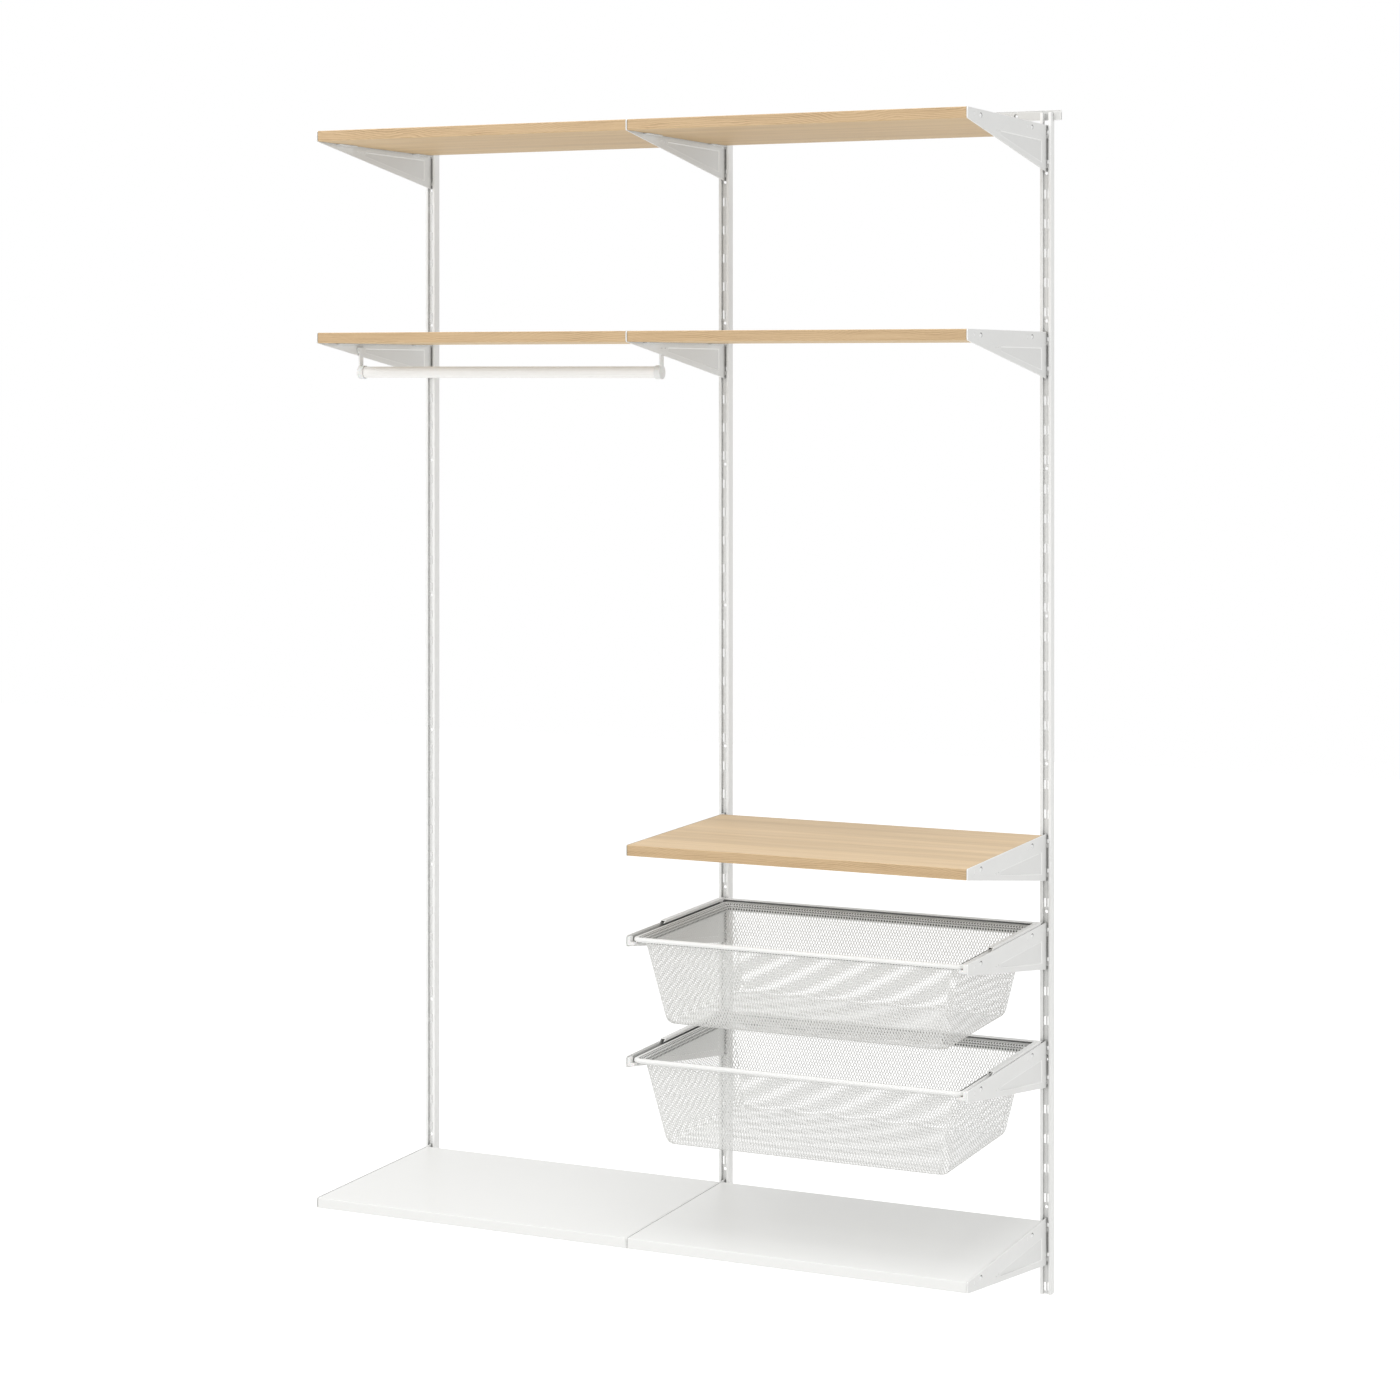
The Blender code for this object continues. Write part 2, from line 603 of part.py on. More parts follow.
def make_folded_shelf(name, bay, level, material):
    """A sheet folded down on four sides with a return all round, and a rib folded across its underside."""
    board = make_board(name, bay, level, material)
    board.modifiers.clear()
    bevel(board, PAN_EDGE, PAN_EDGE_STEPS)
    bottom = level_height(level) + PLATE_FRONT_BOTTOM
    low, high = bay_limits(bay)
    low_x = low + SHELF_SIDE_GAP + PAN_SHEET
    high_x = high - SHELF_SIDE_GAP - PAN_SHEET
    low_y = SHELF_FRONT + PAN_SHEET
    high_y = SHELF_BACK - PAN_SHEET
    roof = bottom + SHELF_THICKNESS - PAN_SHEET
    rib_middle = (low_y + high_y) / 2
    rib_low = rib_middle - PAN_RIB_HALF_WIDTH
    rib_high = rib_middle + PAN_RIB_HALF_WIDTH
    rib_roof = roof - PAN_RIB_DEPTH
    hollow = [
        (low_y, bottom + PAN_SHEET),
        (low_y + PAN_RETURN, bottom + PAN_SHEET),
        (low_y + PAN_RETURN, bottom - CUT_OVER),
        (high_y - PAN_RETURN, bottom - CUT_OVER),
        (high_y - PAN_RETURN, bottom + PAN_SHEET),
        (high_y, bottom + PAN_SHEET),
        (high_y, roof),
        (rib_high + PAN_SHEET, roof),
        (rib_high + PAN_SHEET, rib_roof),
        (rib_low - PAN_SHEET, rib_roof),
        (rib_low - PAN_SHEET, roof),
        (low_y, roof),
    ]
    cuts = bmesh.new()
    add_prism(cuts, hollow, "X", low_x, high_x)
    boolean(board, cutter_from(name + "_hollow", cuts), "DIFFERENCE")
    return board


def add_tube_wall(work, x_low, x_high, y, z, outer, inner, steps):
    """A tube along X with open ends, as one closed wall."""
    rings = []
    for x, radius in ((x_low, outer), (x_high, outer), (x_high, inner), (x_low, inner)):
        rings.append([work.verts.new((x, a, b)) for a, b in circle_outline(y, z, radius, steps)])
    for index in range(len(rings)):
        here = rings[index]
        there = rings[(index + 1) % len(rings)]
        for step in range(steps):
            ahead = (step + 1) % steps
            work.faces.new((here[step], here[ahead], there[ahead], there[step]))


def make_clothes_rail(material, hanger_material):
    low, high = bay_limits("left")
    base = level_height("second")
    axis_z = base + TUBE_DROP
    strap_gap = SEAT_GAP + HANGER_SHEET
    work = bmesh.new()
    tube_low = low + strap_gap + SEAT_GAP
    tube_high = high - strap_gap - SEAT_GAP
    inner = TUBE_RADIUS - TUBE_WALL
    add_tube_wall(work, tube_low, tube_high, TUBE_Y, axis_z, TUBE_RADIUS, inner, TUBE_STEPS)
    object_from("clothes_rail_tube", work, material)

    for side, face, inward in (("left", low, 1), ("right", high, -1)):
        near = face + inward * SEAT_GAP
        far = near + inward * HANGER_SHEET
        rim = far + inward * CUP_DEPTH
        head_top = base + PIN_HOLE_HEIGHT + HANGER_HEAD_HEIGHT / 2
        head_bottom = head_top - HANGER_HEAD_HEIGHT
        shoulder = HANGER_HEAD_HALF_WIDTH - HANGER_HALF_WIDTH
        strap = [
            (TUBE_Y - HANGER_HALF_WIDTH, axis_z),
            (TUBE_Y + HANGER_HALF_WIDTH, axis_z),
            (TUBE_Y + HANGER_HALF_WIDTH, head_bottom - shoulder),
            (TUBE_Y + HANGER_HEAD_HALF_WIDTH, head_bottom),
            (TUBE_Y + HANGER_HEAD_HALF_WIDTH, head_top),
            (TUBE_Y - HANGER_HEAD_HALF_WIDTH, head_top),
            (TUBE_Y - HANGER_HEAD_HALF_WIDTH, head_bottom),
            (TUBE_Y - HANGER_HALF_WIDTH, head_bottom - shoulder),
        ]
        plate = bmesh.new()
        add_prism(plate, strap, "X", near, far)
        name = "rail_hanger_" + side
        hanger = object_from(name, plate, hanger_material)
        cup = bmesh.new()
        disc = circle_outline(TUBE_Y, axis_z, HANGER_DISC_RADIUS, CUP_STEPS)
        add_prism(cup, disc, "X", near, rim)
        boolean(hanger, cutter_from(name + "_cup", cup), "UNION")
        pins = bmesh.new()
        for y in PIN_HOLES_Y:
            pin = circle_outline(y, base + PIN_HOLE_HEIGHT, PIN_RADIUS, SMALL_ROUND_STEPS)
            add_prism(pins, pin, "X", near + inward * HANGER_SHEET / 2, face - inward * PLATE_SHEET / 2)
        boolean(hanger, cutter_from(name + "_pins", pins), "UNION")
        bore = bmesh.new()
        hollow = circle_outline(TUBE_Y, axis_z, TUBE_RADIUS + SEAT_GAP, TUBE_STEPS)
        add_prism(bore, hollow, "X", far, rim + inward * CUT_OVER)
        boolean(hanger, cutter_from(name + "_bore", bore), "DIFFERENCE")


def rounded_rectangle(low_x, high_x, low_y, high_y, radius, steps):
    corners = box_outline(low_x, high_x, low_y, high_y)
    return rounded_outline(corners, radius, steps)


def rim_limits(bay):
    low, high = bay_limits(bay)
    side = RIM_SIDE_CLEAR + RIM_RADIUS
    return low + side, high - side


def make_basket_rim(name, bay, level, material):
    """A round wire bent into a rectangle, swept along its centre line."""
    low_x, high_x = rim_limits(bay)
    height = level_height(level) + RIM_HEIGHT
    line = rounded_rectangle(low_x, high_x, RIM_FRONT, RIM_BACK, RIM_CORNER, RIM_CORNER_STEPS)
    curve = bpy.data.curves.new(name, "CURVE")
    curve.dimensions = "3D"
    curve.bevel_depth = RIM_RADIUS
    curve.bevel_resolution = RIM_BEVEL_STEPS
    spline = curve.splines.new("POLY")
    spline.points.add(len(line) - 1)
    for point, (x, y) in zip(spline.points, line):
        point.co = (x, y, height, 1)
    spline.use_cyclic_u = True
    curve.materials.append(material)
    rim = bpy.data.objects.new(name, curve)
    bpy.context.scene.collection.objects.link(rim)
    return rim


def make_basket_pan(name, bay, level, material):
    """An open tapered pan with a flared collar, drawn as one wall of even thickness."""
    low_x, high_x = rim_limits(bay)
    base = level_height(level)
    work = bmesh.new()
    shells = []
    for inward in (0, PAN_WALL):
        loops = []
        for height, side, front, back, radius in PAN_LEVELS:
            lift = inward if height < 0 else 0
            outline = rounded_rectangle(
                low_x + side + inward,
                high_x - side - inward,
                RIM_FRONT + front + inward,
                RIM_BACK - back - inward,
                radius - inward,
                PAN_CORNER_STEPS,
            )
            loops.append([work.verts.new((x, y, base + height + lift)) for x, y in outline])
        shells.append(loops)
    count = len(shells[0][0])
    for loops in shells:
        for upper, lower in zip(loops, loops[1:]):
            for here in range(count):
                there = (here + 1) % count
                work.faces.new((upper[here], upper[there], lower[there], lower[here]))
        work.faces.new(loops[-1])
    outer_top, inner_top = shells[0][0], shells[1][0]
    for here in range(count):
        there = (here + 1) % count
        work.faces.new((outer_top[here], outer_top[there], inner_top[there], inner_top[here]))
    pan = object_from(name, work, material)
    for cutter in pan_openings(name, low_x, high_x, base):
        boolean(pan, cutter, "DIFFERENCE")
    return pan


def divide(low, high, count):
    """Spans of equal width between two ends, with a bar between each two and half a bar at the ends."""
    pitch = (high - low) / count
    return [(low + n * pitch + GRID_BAR / 2, low + (n + 1) * pitch - GRID_BAR / 2) for n in range(count)]


def pan_openings(name, low_x, high_x, base):
    """Cutters for the long walls, the short walls and the bottom. A wall's columns follow its taper."""
    collar, foot, floor = PAN_LEVELS[1], PAN_LEVELS[2], PAN_LEVELS[-1]

    def flat_part(level, along):
        """Where a wall is straight at a level: between its two rounded corners."""
        height, side, front, back, radius = level
        if along == "long":
            return low_x + side + radius, high_x - side - radius
        return RIM_FRONT + front + radius, RIM_BACK - back - radius

    def corners(along, height):
        share = (collar[0] - height) / (collar[0] - foot[0])
        pairs = zip(flat_part(collar, along), flat_part(foot, along))
        ends = [upper + share * (lower - upper) for upper, lower in pairs]
        return divide(*ends, GRID_COLUMNS[along])

    cutters = []
    for along, axis, start, end in (
        ("long", "Y", RIM_FRONT - CUT_OVER, RIM_BACK + CUT_OVER),
        ("short", "X", low_x - CUT_OVER, high_x + CUT_OVER),
    ):
        work = bmesh.new()
        for bottom, top in divide(foot[0] + GRID_FOOT, collar[0] - GRID_HEM, GRID_WALL_ROWS):
            for (low_a, low_b), (high_a, high_b) in zip(corners(along, bottom), corners(along, top)):
                outline = [
                    (low_a, base + bottom),
                    (low_b, base + bottom),
                    (high_b, base + top),
                    (high_a, base + top),
                ]
                add_prism(work, outline, axis, start, end)
        cutters.append(cutter_from(name + "_" + along + "_walls", work))
    work = bmesh.new()
    for low_a, low_b in divide(*flat_part(floor, "long"), GRID_COLUMNS["long"]):
        for near, far in divide(*flat_part(floor, "short"), GRID_COLUMNS["short"]):
            below, above = base + floor[0] - CUT_OVER, base + floor[0] + PAN_WALL + CUT_OVER
            add_prism(work, box_outline(low_a, low_b, near, far), "Z", below, above)
    cutters.append(cutter_from(name + "_bottom", work))
    return cutters


def runner_outline():
    """The roll-formed strip: a hemmed floor below the rim, a wall on the plate, and a folded lip above."""
    wall_out = RUNNER_WALL_X
    wall_in = RUNNER_WALL_X + RUNNER_SHEET
    floor_end = RUNNER_FLOOR_REACH
    hem_start = wall_in + RUNNER_HEM_GAP
    lip_end = RUNNER_LIP_REACH
    return [
        (wall_out, RUNNER_BOTTOM),
        (floor_end, RUNNER_BOTTOM),
        (floor_end, RUNNER_FLOOR_TOP),
        (hem_start, RUNNER_FLOOR_TOP),
        (hem_start, RUNNER_FLOOR_TOP - RUNNER_SHEET),
        (floor_end - RUNNER_SHEET, RUNNER_FLOOR_TOP - RUNNER_SHEET),
        (floor_end - RUNNER_SHEET, RUNNER_BOTTOM + RUNNER_SHEET),
        (wall_in, RUNNER_BOTTOM + RUNNER_SHEET),
        (wall_in, RUNNER_LIP_TOP - RUNNER_SHEET),
        (lip_end - RUNNER_SHEET, RUNNER_LIP_TOP - RUNNER_SHEET),
        (lip_end - RUNNER_SHEET, RUNNER_LIP_FOLD_BOTTOM),
        (lip_end, RUNNER_LIP_FOLD_BOTTOM),
        (lip_end, RUNNER_LIP_TOP),
        (wall_out, RUNNER_LIP_TOP),
    ]


def make_runner(name, bay, side, level, material):
    low, high = bay_limits(bay)
    face, inward = (low, 1) if side == "left" else (high, -1)
    base = level_height(level)
    work = bmesh.new()
    profile = [(face + inward * x, base + z) for x, z in runner_outline()]
    add_prism(work, profile, "Y", RUNNER_FRONT, RUNNER_BACK)
    runner = object_from(name, work, material)
    cuts = bmesh.new()
    open_top = [
        (RUNNER_FRONT - CUT_OVER, base + RUNNER_FRONT_TOP),
        (LIP_START - LIP_NOSE, base + RUNNER_FRONT_TOP),
        (LIP_START, base + RUNNER_LIP_TOP + CUT_OVER),
        (RUNNER_FRONT - CUT_OVER, base + RUNNER_LIP_TOP + CUT_OVER),
    ]
    reach = RUNNER_LIP_REACH + CUT_OVER
    add_prism(cuts, open_top, "X", face - inward * CUT_OVER, face + inward * reach)
    boolean(runner, cutter_from(name + "_open_top", cuts), "DIFFERENCE")
    bosses = bmesh.new()
    for y in FIXING_HOLES_Y:
        boss = circle_outline(y, base + FIXING_HEIGHT, BOSS_RADIUS, ROUND_STEPS)
        inner_end = face + inward * (RUNNER_WALL_X + RUNNER_SHEET / 2)
        add_prism(bosses, boss, "X", inner_end, face - inward * BOSS_REACH)
    boolean(runner, cutter_from(name + "_bosses", bosses), "UNION")
    return runner


def make_runner_cap(name, bay, side, level, material):
    """The plastic end: a block beside the rim, a tongue under it, and a plug in the runner's hem."""
    low, high = bay_limits(bay)
    face, inward = (low, 1) if side == "left" else (high, -1)
    base = level_height(level)
    block = [
        (RUNNER_WALL_X, CAP_BOTTOM),
        (RUNNER_FLOOR_REACH, CAP_BOTTOM),
        (RUNNER_FLOOR_REACH, RUNNER_FLOOR_TOP),
        (CAP_WIDTH, RUNNER_FLOOR_TOP),
        (CAP_WIDTH, RUNNER_FRONT_TOP),
        (RUNNER_WALL_X, RUNNER_FRONT_TOP),
    ]
    work = bmesh.new()
    add_prism(work, [(face + inward * x, base + z) for x, z in block], "Y", CAP_FRONT, CAP_BACK)
    cap = object_from(name, work, material)
    bevel(cap, CAP_EDGE, CAP_EDGE_STEPS)
    plug = bmesh.new()
    plug_low_x = RUNNER_WALL_X + RUNNER_SHEET + RUNNER_HEM_GAP + SEAT_GAP
    plug_high_x = RUNNER_FLOOR_REACH - RUNNER_SHEET - SEAT_GAP
    plug_low_z = RUNNER_BOTTOM + RUNNER_SHEET + SEAT_GAP
    plug_high_z = RUNNER_FLOOR_TOP - RUNNER_SHEET - SEAT_GAP
    section = box_outline(plug_low_x, plug_high_x, base + plug_low_z, base + plug_high_z)
    section = [(face + inward * x, z) for x, z in section]
    add_prism(plug, section, "Y", CAP_PLUG_START, CAP_BACK + CAP_PLUG_LENGTH)
    boolean(cap, cutter_from(name + "_plug", plug), "UNION")
    return cap


def make_back_channel(name, bay, level, material):
    """The channel across both runners, open to the front so that the rim's back wire tucks into it."""
    low, high = bay_limits(bay)
    base = level_height(level)
    inner_back = BACK_CHANNEL_BACK - BACK_CHANNEL_SHEET
    lower_front = BACK_CHANNEL_BACK - BACK_CHANNEL_LIP
    section = [
        (BACK_CHANNEL_FRONT, base + BACK_CHANNEL_TOP),
        (BACK_CHANNEL_FRONT, base + BACK_CHANNEL_TOP - BACK_CHANNEL_SHEET),
        (inner_back, base + BACK_CHANNEL_TOP - BACK_CHANNEL_SHEET),
        (inner_back, base + BACK_CHANNEL_BOTTOM + BACK_CHANNEL_SHEET),
        (lower_front, base + BACK_CHANNEL_BOTTOM + BACK_CHANNEL_SHEET),
        (lower_front, base + BACK_CHANNEL_BOTTOM),
        (BACK_CHANNEL_BACK, base + BACK_CHANNEL_BOTTOM),
        (BACK_CHANNEL_BACK, base + BACK_CHANNEL_TOP),
    ]
    section = rounded_outline(section, BACK_CHANNEL_SHEET, BEND_STEPS, (6, 7))
    work = bmesh.new()
    add_prism(work, section, "X", low + BACK_CHANNEL_SIDE, high - BACK_CHANNEL_SIDE)
    return object_from(name, work, material)


clear_scene()

POWDER_WHITE = make_material("powder_coated_white_steel", (0.86, 0.86, 0.84), 0.42)
SHELF_WHITE = make_material("smooth_white_shelf_coating", (0.88, 0.88, 0.86), 0.30, coat=0.2)
OAK = make_material("white_stained_oak_veneer", (0.74, 0.56, 0.37), 0.50)
CAP_WHITE = make_material("white_runner_plastic", (0.84, 0.84, 0.82), 0.36)
RAIL_WHITE = make_material("warm_white_rail_lacquer", (0.88, 0.86, 0.82), 0.30)

make_hanging_rail(
    "hanging_rail_left", -RAIL_LENGTH - RAIL_JOINT_GAP / 2, -RAIL_JOINT_GAP / 2, POWDER_WHITE
)
make_hanging_rail(
    "hanging_rail_right", RAIL_JOINT_GAP / 2, RAIL_LENGTH + RAIL_JOINT_GAP / 2, POWDER_WHITE
)

for position, centre_x in UPRIGHT_CENTRES.items():
    make_upright("upright_" + position, centre_x, POWDER_WHITE)

# Every bracket is the same plate; only the sides that carry a shelf have tabs bent out.
ALL_UPRIGHTS = {"left": ("right",), "middle": ("left", "right"), "right": ("left",)}
RIGHT_BAY = {"middle": ("right",), "right": ("left",)}
NO_SHELF = {"middle": (), "right": ()}
BRACKETS = {
    "top": ALL_UPRIGHTS,
    "second": ALL_UPRIGHTS,
    "third": RIGHT_BAY,
    "basket_upper": NO_SHELF,
    "basket_lower": NO_SHELF,
    "bottom": ALL_UPRIGHTS,
}
for level_name, places in BRACKETS.items():
    for position, tab_sides in places.items():
        bracket_name = "bracket_" + level_name + "_" + position
        make_bracket(bracket_name, UPRIGHT_CENTRES[position], level_name, tab_sides, POWDER_WHITE)

for level_name, bay_name in (
    ("top", "left"),
    ("top", "right"),
    ("second", "left"),
    ("second", "right"),
    ("third", "right"),
):
    make_board("oak_shelf_" + level_name + "_" + bay_name, bay_name, level_name, OAK)
for bay_name in ("left", "right"):
    make_folded_shelf("white_shelf_bottom_" + bay_name, bay_name, "bottom", SHELF_WHITE)

make_clothes_rail(RAIL_WHITE, CAP_WHITE)

for basket in ("upper", "lower"):
    basket_level = "basket_" + basket
    make_basket_rim(basket_level + "_rim", "right", basket_level, POWDER_WHITE)
    make_basket_pan(basket_level + "_pan", "right", basket_level, POWDER_WHITE)
    make_back_channel("runner_back_" + basket, "right", basket_level, POWDER_WHITE)
    for side_name in ("left", "right"):
        ending = basket + "_" + side_name
        make_runner("runner_" + ending, "right", side_name, basket_level, POWDER_WHITE)
        make_runner_cap("runner_cap_" + ending, "right", side_name, basket_level, CAP_WHITE)
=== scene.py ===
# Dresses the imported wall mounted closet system: materials, expanded-metal basket pans, light and camera.
# The frame is the CAD's own, in metres: X along the wall, Z up, the wall at Y = 0 and the object before it.

import math

import bpy
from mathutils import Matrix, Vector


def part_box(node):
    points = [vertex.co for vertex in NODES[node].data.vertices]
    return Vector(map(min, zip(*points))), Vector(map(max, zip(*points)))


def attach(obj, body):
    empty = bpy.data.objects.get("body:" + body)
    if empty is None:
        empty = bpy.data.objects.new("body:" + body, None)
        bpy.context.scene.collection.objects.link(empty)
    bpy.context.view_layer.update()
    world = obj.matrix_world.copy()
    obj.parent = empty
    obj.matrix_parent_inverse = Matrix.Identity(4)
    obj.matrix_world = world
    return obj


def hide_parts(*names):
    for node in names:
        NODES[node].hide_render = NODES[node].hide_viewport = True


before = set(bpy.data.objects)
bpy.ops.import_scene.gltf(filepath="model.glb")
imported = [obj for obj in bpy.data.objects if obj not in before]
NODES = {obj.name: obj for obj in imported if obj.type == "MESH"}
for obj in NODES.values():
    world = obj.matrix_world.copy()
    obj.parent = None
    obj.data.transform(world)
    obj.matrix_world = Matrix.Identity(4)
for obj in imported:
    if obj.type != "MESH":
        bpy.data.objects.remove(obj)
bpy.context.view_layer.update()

MM = 0.001
UPRIGHT_PLACES = {
    side: sum(corner[0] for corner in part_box("upright_" + side)) / 2 for side in ("left", "middle", "right")
}


def mesh_object(name, points, faces, materials, indices):
    data = bpy.data.meshes.new(name)
    data.from_pydata(points, [], faces)
    for material in materials:
        data.materials.append(material)
    data.polygons.foreach_set("material_index", indices)
    item = bpy.data.objects.new(name, data)
    bpy.context.scene.collection.objects.link(item)
    return item


# ---------------------------------------------------------------------------------------------------
# Camera: fitted to the photograph, whose frame is 1400 x 1400
# ---------------------------------------------------------------------------------------------------
PHOTO_SIDE = 1400
FOCAL_PIXELS = 2954.313
SENSOR = 36.0
CAMERA_PLACE = (2.207504, -4.767330, 1.562168)
CAMERA_TURN = 0.4096799
CENTRE_U, CENTRE_V = 798.5571, 371.3125


def make_camera():
    data = bpy.data.cameras.new("Photo_camera")
    data.sensor_width = SENSOR
    data.lens = FOCAL_PIXELS * SENSOR / PHOTO_SIDE
    data.shift_x = (PHOTO_SIDE / 2 - CENTRE_U) / PHOTO_SIDE
    data.shift_y = (CENTRE_V - PHOTO_SIDE / 2) / PHOTO_SIDE
    camera = bpy.data.objects.new("Photo_camera", data)
    camera.location = CAMERA_PLACE
    camera.rotation_euler = (math.pi / 2, 0, CAMERA_TURN)
    bpy.context.scene.collection.objects.link(camera)
    bpy.context.scene.camera = camera


# ---------------------------------------------------------------------------------------------------
# Colours. A coat has a light and a dark shade, between which it is softly mottled.
# ---------------------------------------------------------------------------------------------------
BRACKET_SHADES = (0.845, 0.845, 0.83), (0.81, 0.81, 0.795)
UPRIGHT_SHADES = (0.90, 0.90, 0.885), (0.875, 0.875, 0.86)
HANGING_SHADES = (0.72, 0.72, 0.705), (0.69, 0.69, 0.675)
STRAND_SHADES = (0.81, 0.81, 0.795), (0.73, 0.73, 0.715)
# Near black: painted shadow for the strips inside the hems' folds and the discs behind the peg heads
PAINTED_FOLD_SHADOW = (0.07, 0.07, 0.066), (0.05, 0.05, 0.047)
SHELF_SHADES = (0.844, 0.844, 0.826), (0.832, 0.832, 0.814)
RUNNER_SHADES = (0.85, 0.85, 0.835), (0.80, 0.80, 0.785)
PEG_SHADES = (0.96, 0.96, 0.95), (0.93, 0.93, 0.92)
RAIL_SHADES = (0.955, 0.94, 0.915), (0.93, 0.915, 0.885)
FLOOR_SHADES = (0.83, 0.83, 0.825), (0.80, 0.80, 0.795)

# Painted highlight: the near white that edges and a bracket panel's slopes take on
PAINTED_EDGE_HIGHLIGHT = (0.95, 0.95, 0.935, 1)
# Painted shade on a bracket's sunk panel floor
PANEL_FLOOR_SHADE = (0.80, 0.80, 0.785, 1)

FACE_SHADES = (0.775, 0.580, 0.355), (0.610, 0.440, 0.253)
EDGE_LIGHT, EDGE_MIDDLE, EDGE_DARK = (0.625, 0.447, 0.256), (0.500, 0.340, 0.182), (0.300, 0.188, 0.090)
PORE = (0.40, 0.27, 0.15, 1)
UNDERSIDE_PAINTED_SHADE = (0.91, 0.87, 0.74, 1)  # painted shade: faces turned down come out darker and warmer

# What a surface throws on others, by this share in place of its own colour. The photograph's shaded white
# parts are lighter and more neutral than a plain bounce gives.
THROWN_BY_OAK, THROWN_BY_WHITE, THROWN_SHARE = (0.62, 0.605, 0.58, 1), (0.96, 0.96, 0.95, 1), 0.85


# ---------------------------------------------------------------------------------------------------
# Node trees
# ---------------------------------------------------------------------------------------------------
NOISE_LOW, NOISE_HIGH = 0.3, 0.7  # nearly all of a noise lies between


class Tree:
    """A node tree with short ways to add and join nodes."""

    def __init__(self, tree):
        self.tree = tree

    def add(self, kind, **settings):
        node = self.tree.nodes.new(kind)
        for key, value in settings.items():
            setattr(node, key, value)
        return node

    def join(self, source, target):
        self.tree.links.new(source, target)

    def put(self, socket, value):
        """Joins another node's output to the socket, or sets the socket's own value."""
        if isinstance(value, bpy.types.NodeSocket):
            self.join(value, socket)
        else:
            socket.default_value = value

    def math(self, operation, *values):
        node = self.add("ShaderNodeMath", operation=operation)
        for socket, value in zip(node.inputs, values):
            self.put(socket, value)
        return node.outputs[0]

    def weigh(self, first, share, second):
        """The first value by its share, and the second by the rest."""
        return self.math("MULTIPLY_ADD", first, share, self.math("MULTIPLY", second, 1 - share))

    def axes(self, vector):
        """A vector's X, Y and Z."""
        node = self.add("ShaderNodeSeparateXYZ")
        self.join(vector, node.inputs[0])
        return node.outputs

    def span(self, value, low, high, start=NOISE_LOW, end=NOISE_HIGH):
        """Goes from low to high while the value goes from start to end."""
        node = self.add("ShaderNodeMapRange")
        self.join(value, node.inputs["Value"])
        node.inputs["From Min"].default_value = start
        node.inputs["From Max"].default_value = end
        node.inputs["To Min"].default_value = low
        node.inputs["To Max"].default_value = high
        return node.outputs["Result"]


class Coat(Tree):
    """A new material with its shader. Textures follow place, a point in the object's own space."""

    def __init__(self, name):
        self.material = bpy.data.materials.new(name)
        self.material.use_nodes = True
        super().__init__(self.material.node_tree)
        self.shader = self.tree.nodes["Principled BSDF"]
        self.place = self.add("ShaderNodeTexCoord").outputs["Object"]

    def facing(self):
        """The way the surface faces."""
        return self.add("ShaderNodeNewGeometry").outputs["Normal"]

    def vector(self, operation, first, second):
        node = self.add("ShaderNodeVectorMath", operation=operation)
        self.join(first, node.inputs[0])
        self.put(node.inputs[1], second)
        return node.outputs

    def stretch(self, scale, place=None):
        return self.vector("MULTIPLY", place or self.place, scale)["Vector"]

    def noise(self, place, scale, detail, rough):
        node = self.add("ShaderNodeTexNoise")
        self.join(place, node.inputs["Vector"])
        node.inputs["Scale"].default_value = scale
        node.inputs["Detail"].default_value = detail
        node.inputs["Roughness"].default_value = rough
        return node.outputs["Fac"]

    def ramp(self, value, stops):
        node = self.add("ShaderNodeValToRGB")
        self.join(value, node.inputs["Fac"])
        places = node.color_ramp.elements
        while len(places) < len(stops):
            places.new(0.5)
        for element, (at, colour) in zip(places, stops):
            element.position = at
            element.color = (*colour, 1)
        return node.outputs["Color"]

    def mottle(self, value, shades):
        light, dark = shades
        return self.ramp(value, [(NOISE_LOW, dark), (NOISE_HIGH, light)])

    def mix(self, factor, first, second, blend="MIX"):
        node = self.add("ShaderNodeMix", data_type="RGBA", blend_type=blend)
        self.put(node.inputs["Factor"], factor)
        self.put(node.inputs[6], first)
        self.put(node.inputs[7], second)
        return node.outputs[2]

    def crevices(self, reach):
        """Near 1 in the open and near 0 deep in a narrow gap."""
        node = self.add("ShaderNodeAmbientOcclusion", samples=6)
        node.inputs["Distance"].default_value = reach
        return node.outputs["AO"]

    def edges(self, radius):
        """1 along the edges of sheet and mouldings, where the colour gets a painted highlight."""
        bevel = self.add("ShaderNodeBevel", samples=4)
        bevel.inputs["Radius"].default_value = radius
        turned = self.vector("DOT_PRODUCT", bevel.outputs["Normal"], self.facing())["Value"]
        return self.span(turned, 1.0, 0.0, 0.93, 0.995)

    def colour(self, socket, thrown=None):
        """thrown is the colour of the light that the surface throws on others."""
        if thrown:
            bounce = self.add("ShaderNodeLightPath").outputs["Is Diffuse Ray"]
            socket = self.mix(self.math("MULTIPLY", bounce, THROWN_SHARE), socket, thrown)
        self.join(socket, self.shader.inputs["Base Color"])

    def roughness(self, value, low, high):
        self.join(self.span(value, low, high), self.shader.inputs["Roughness"])

    def bump(self, height, strength, distance):
        node = self.add("ShaderNodeBump")
        node.inputs["Strength"].default_value = strength
        node.inputs["Distance"].default_value = distance
        self.join(height, node.inputs["Height"])
        self.join(node.outputs["Normal"], self.shader.inputs["Normal"])

    def varnish(self, weight, rough):
        self.shader.inputs["Coat Weight"].default_value = weight
        self.shader.inputs["Coat Roughness"].default_value = rough


# ---------------------------------------------------------------------------------------------------
# Materials
# ---------------------------------------------------------------------------------------------------
EDGE_REACH = 1.5 * MM
BESIDE_FLOOR = (0.4 * MM, 0.8 * MM)  # a panel's sunk floor lies nearer to the plate's middle than these
GROWTH_RING = 2.8 * MM  # spacing of the rings that show on a board's edges


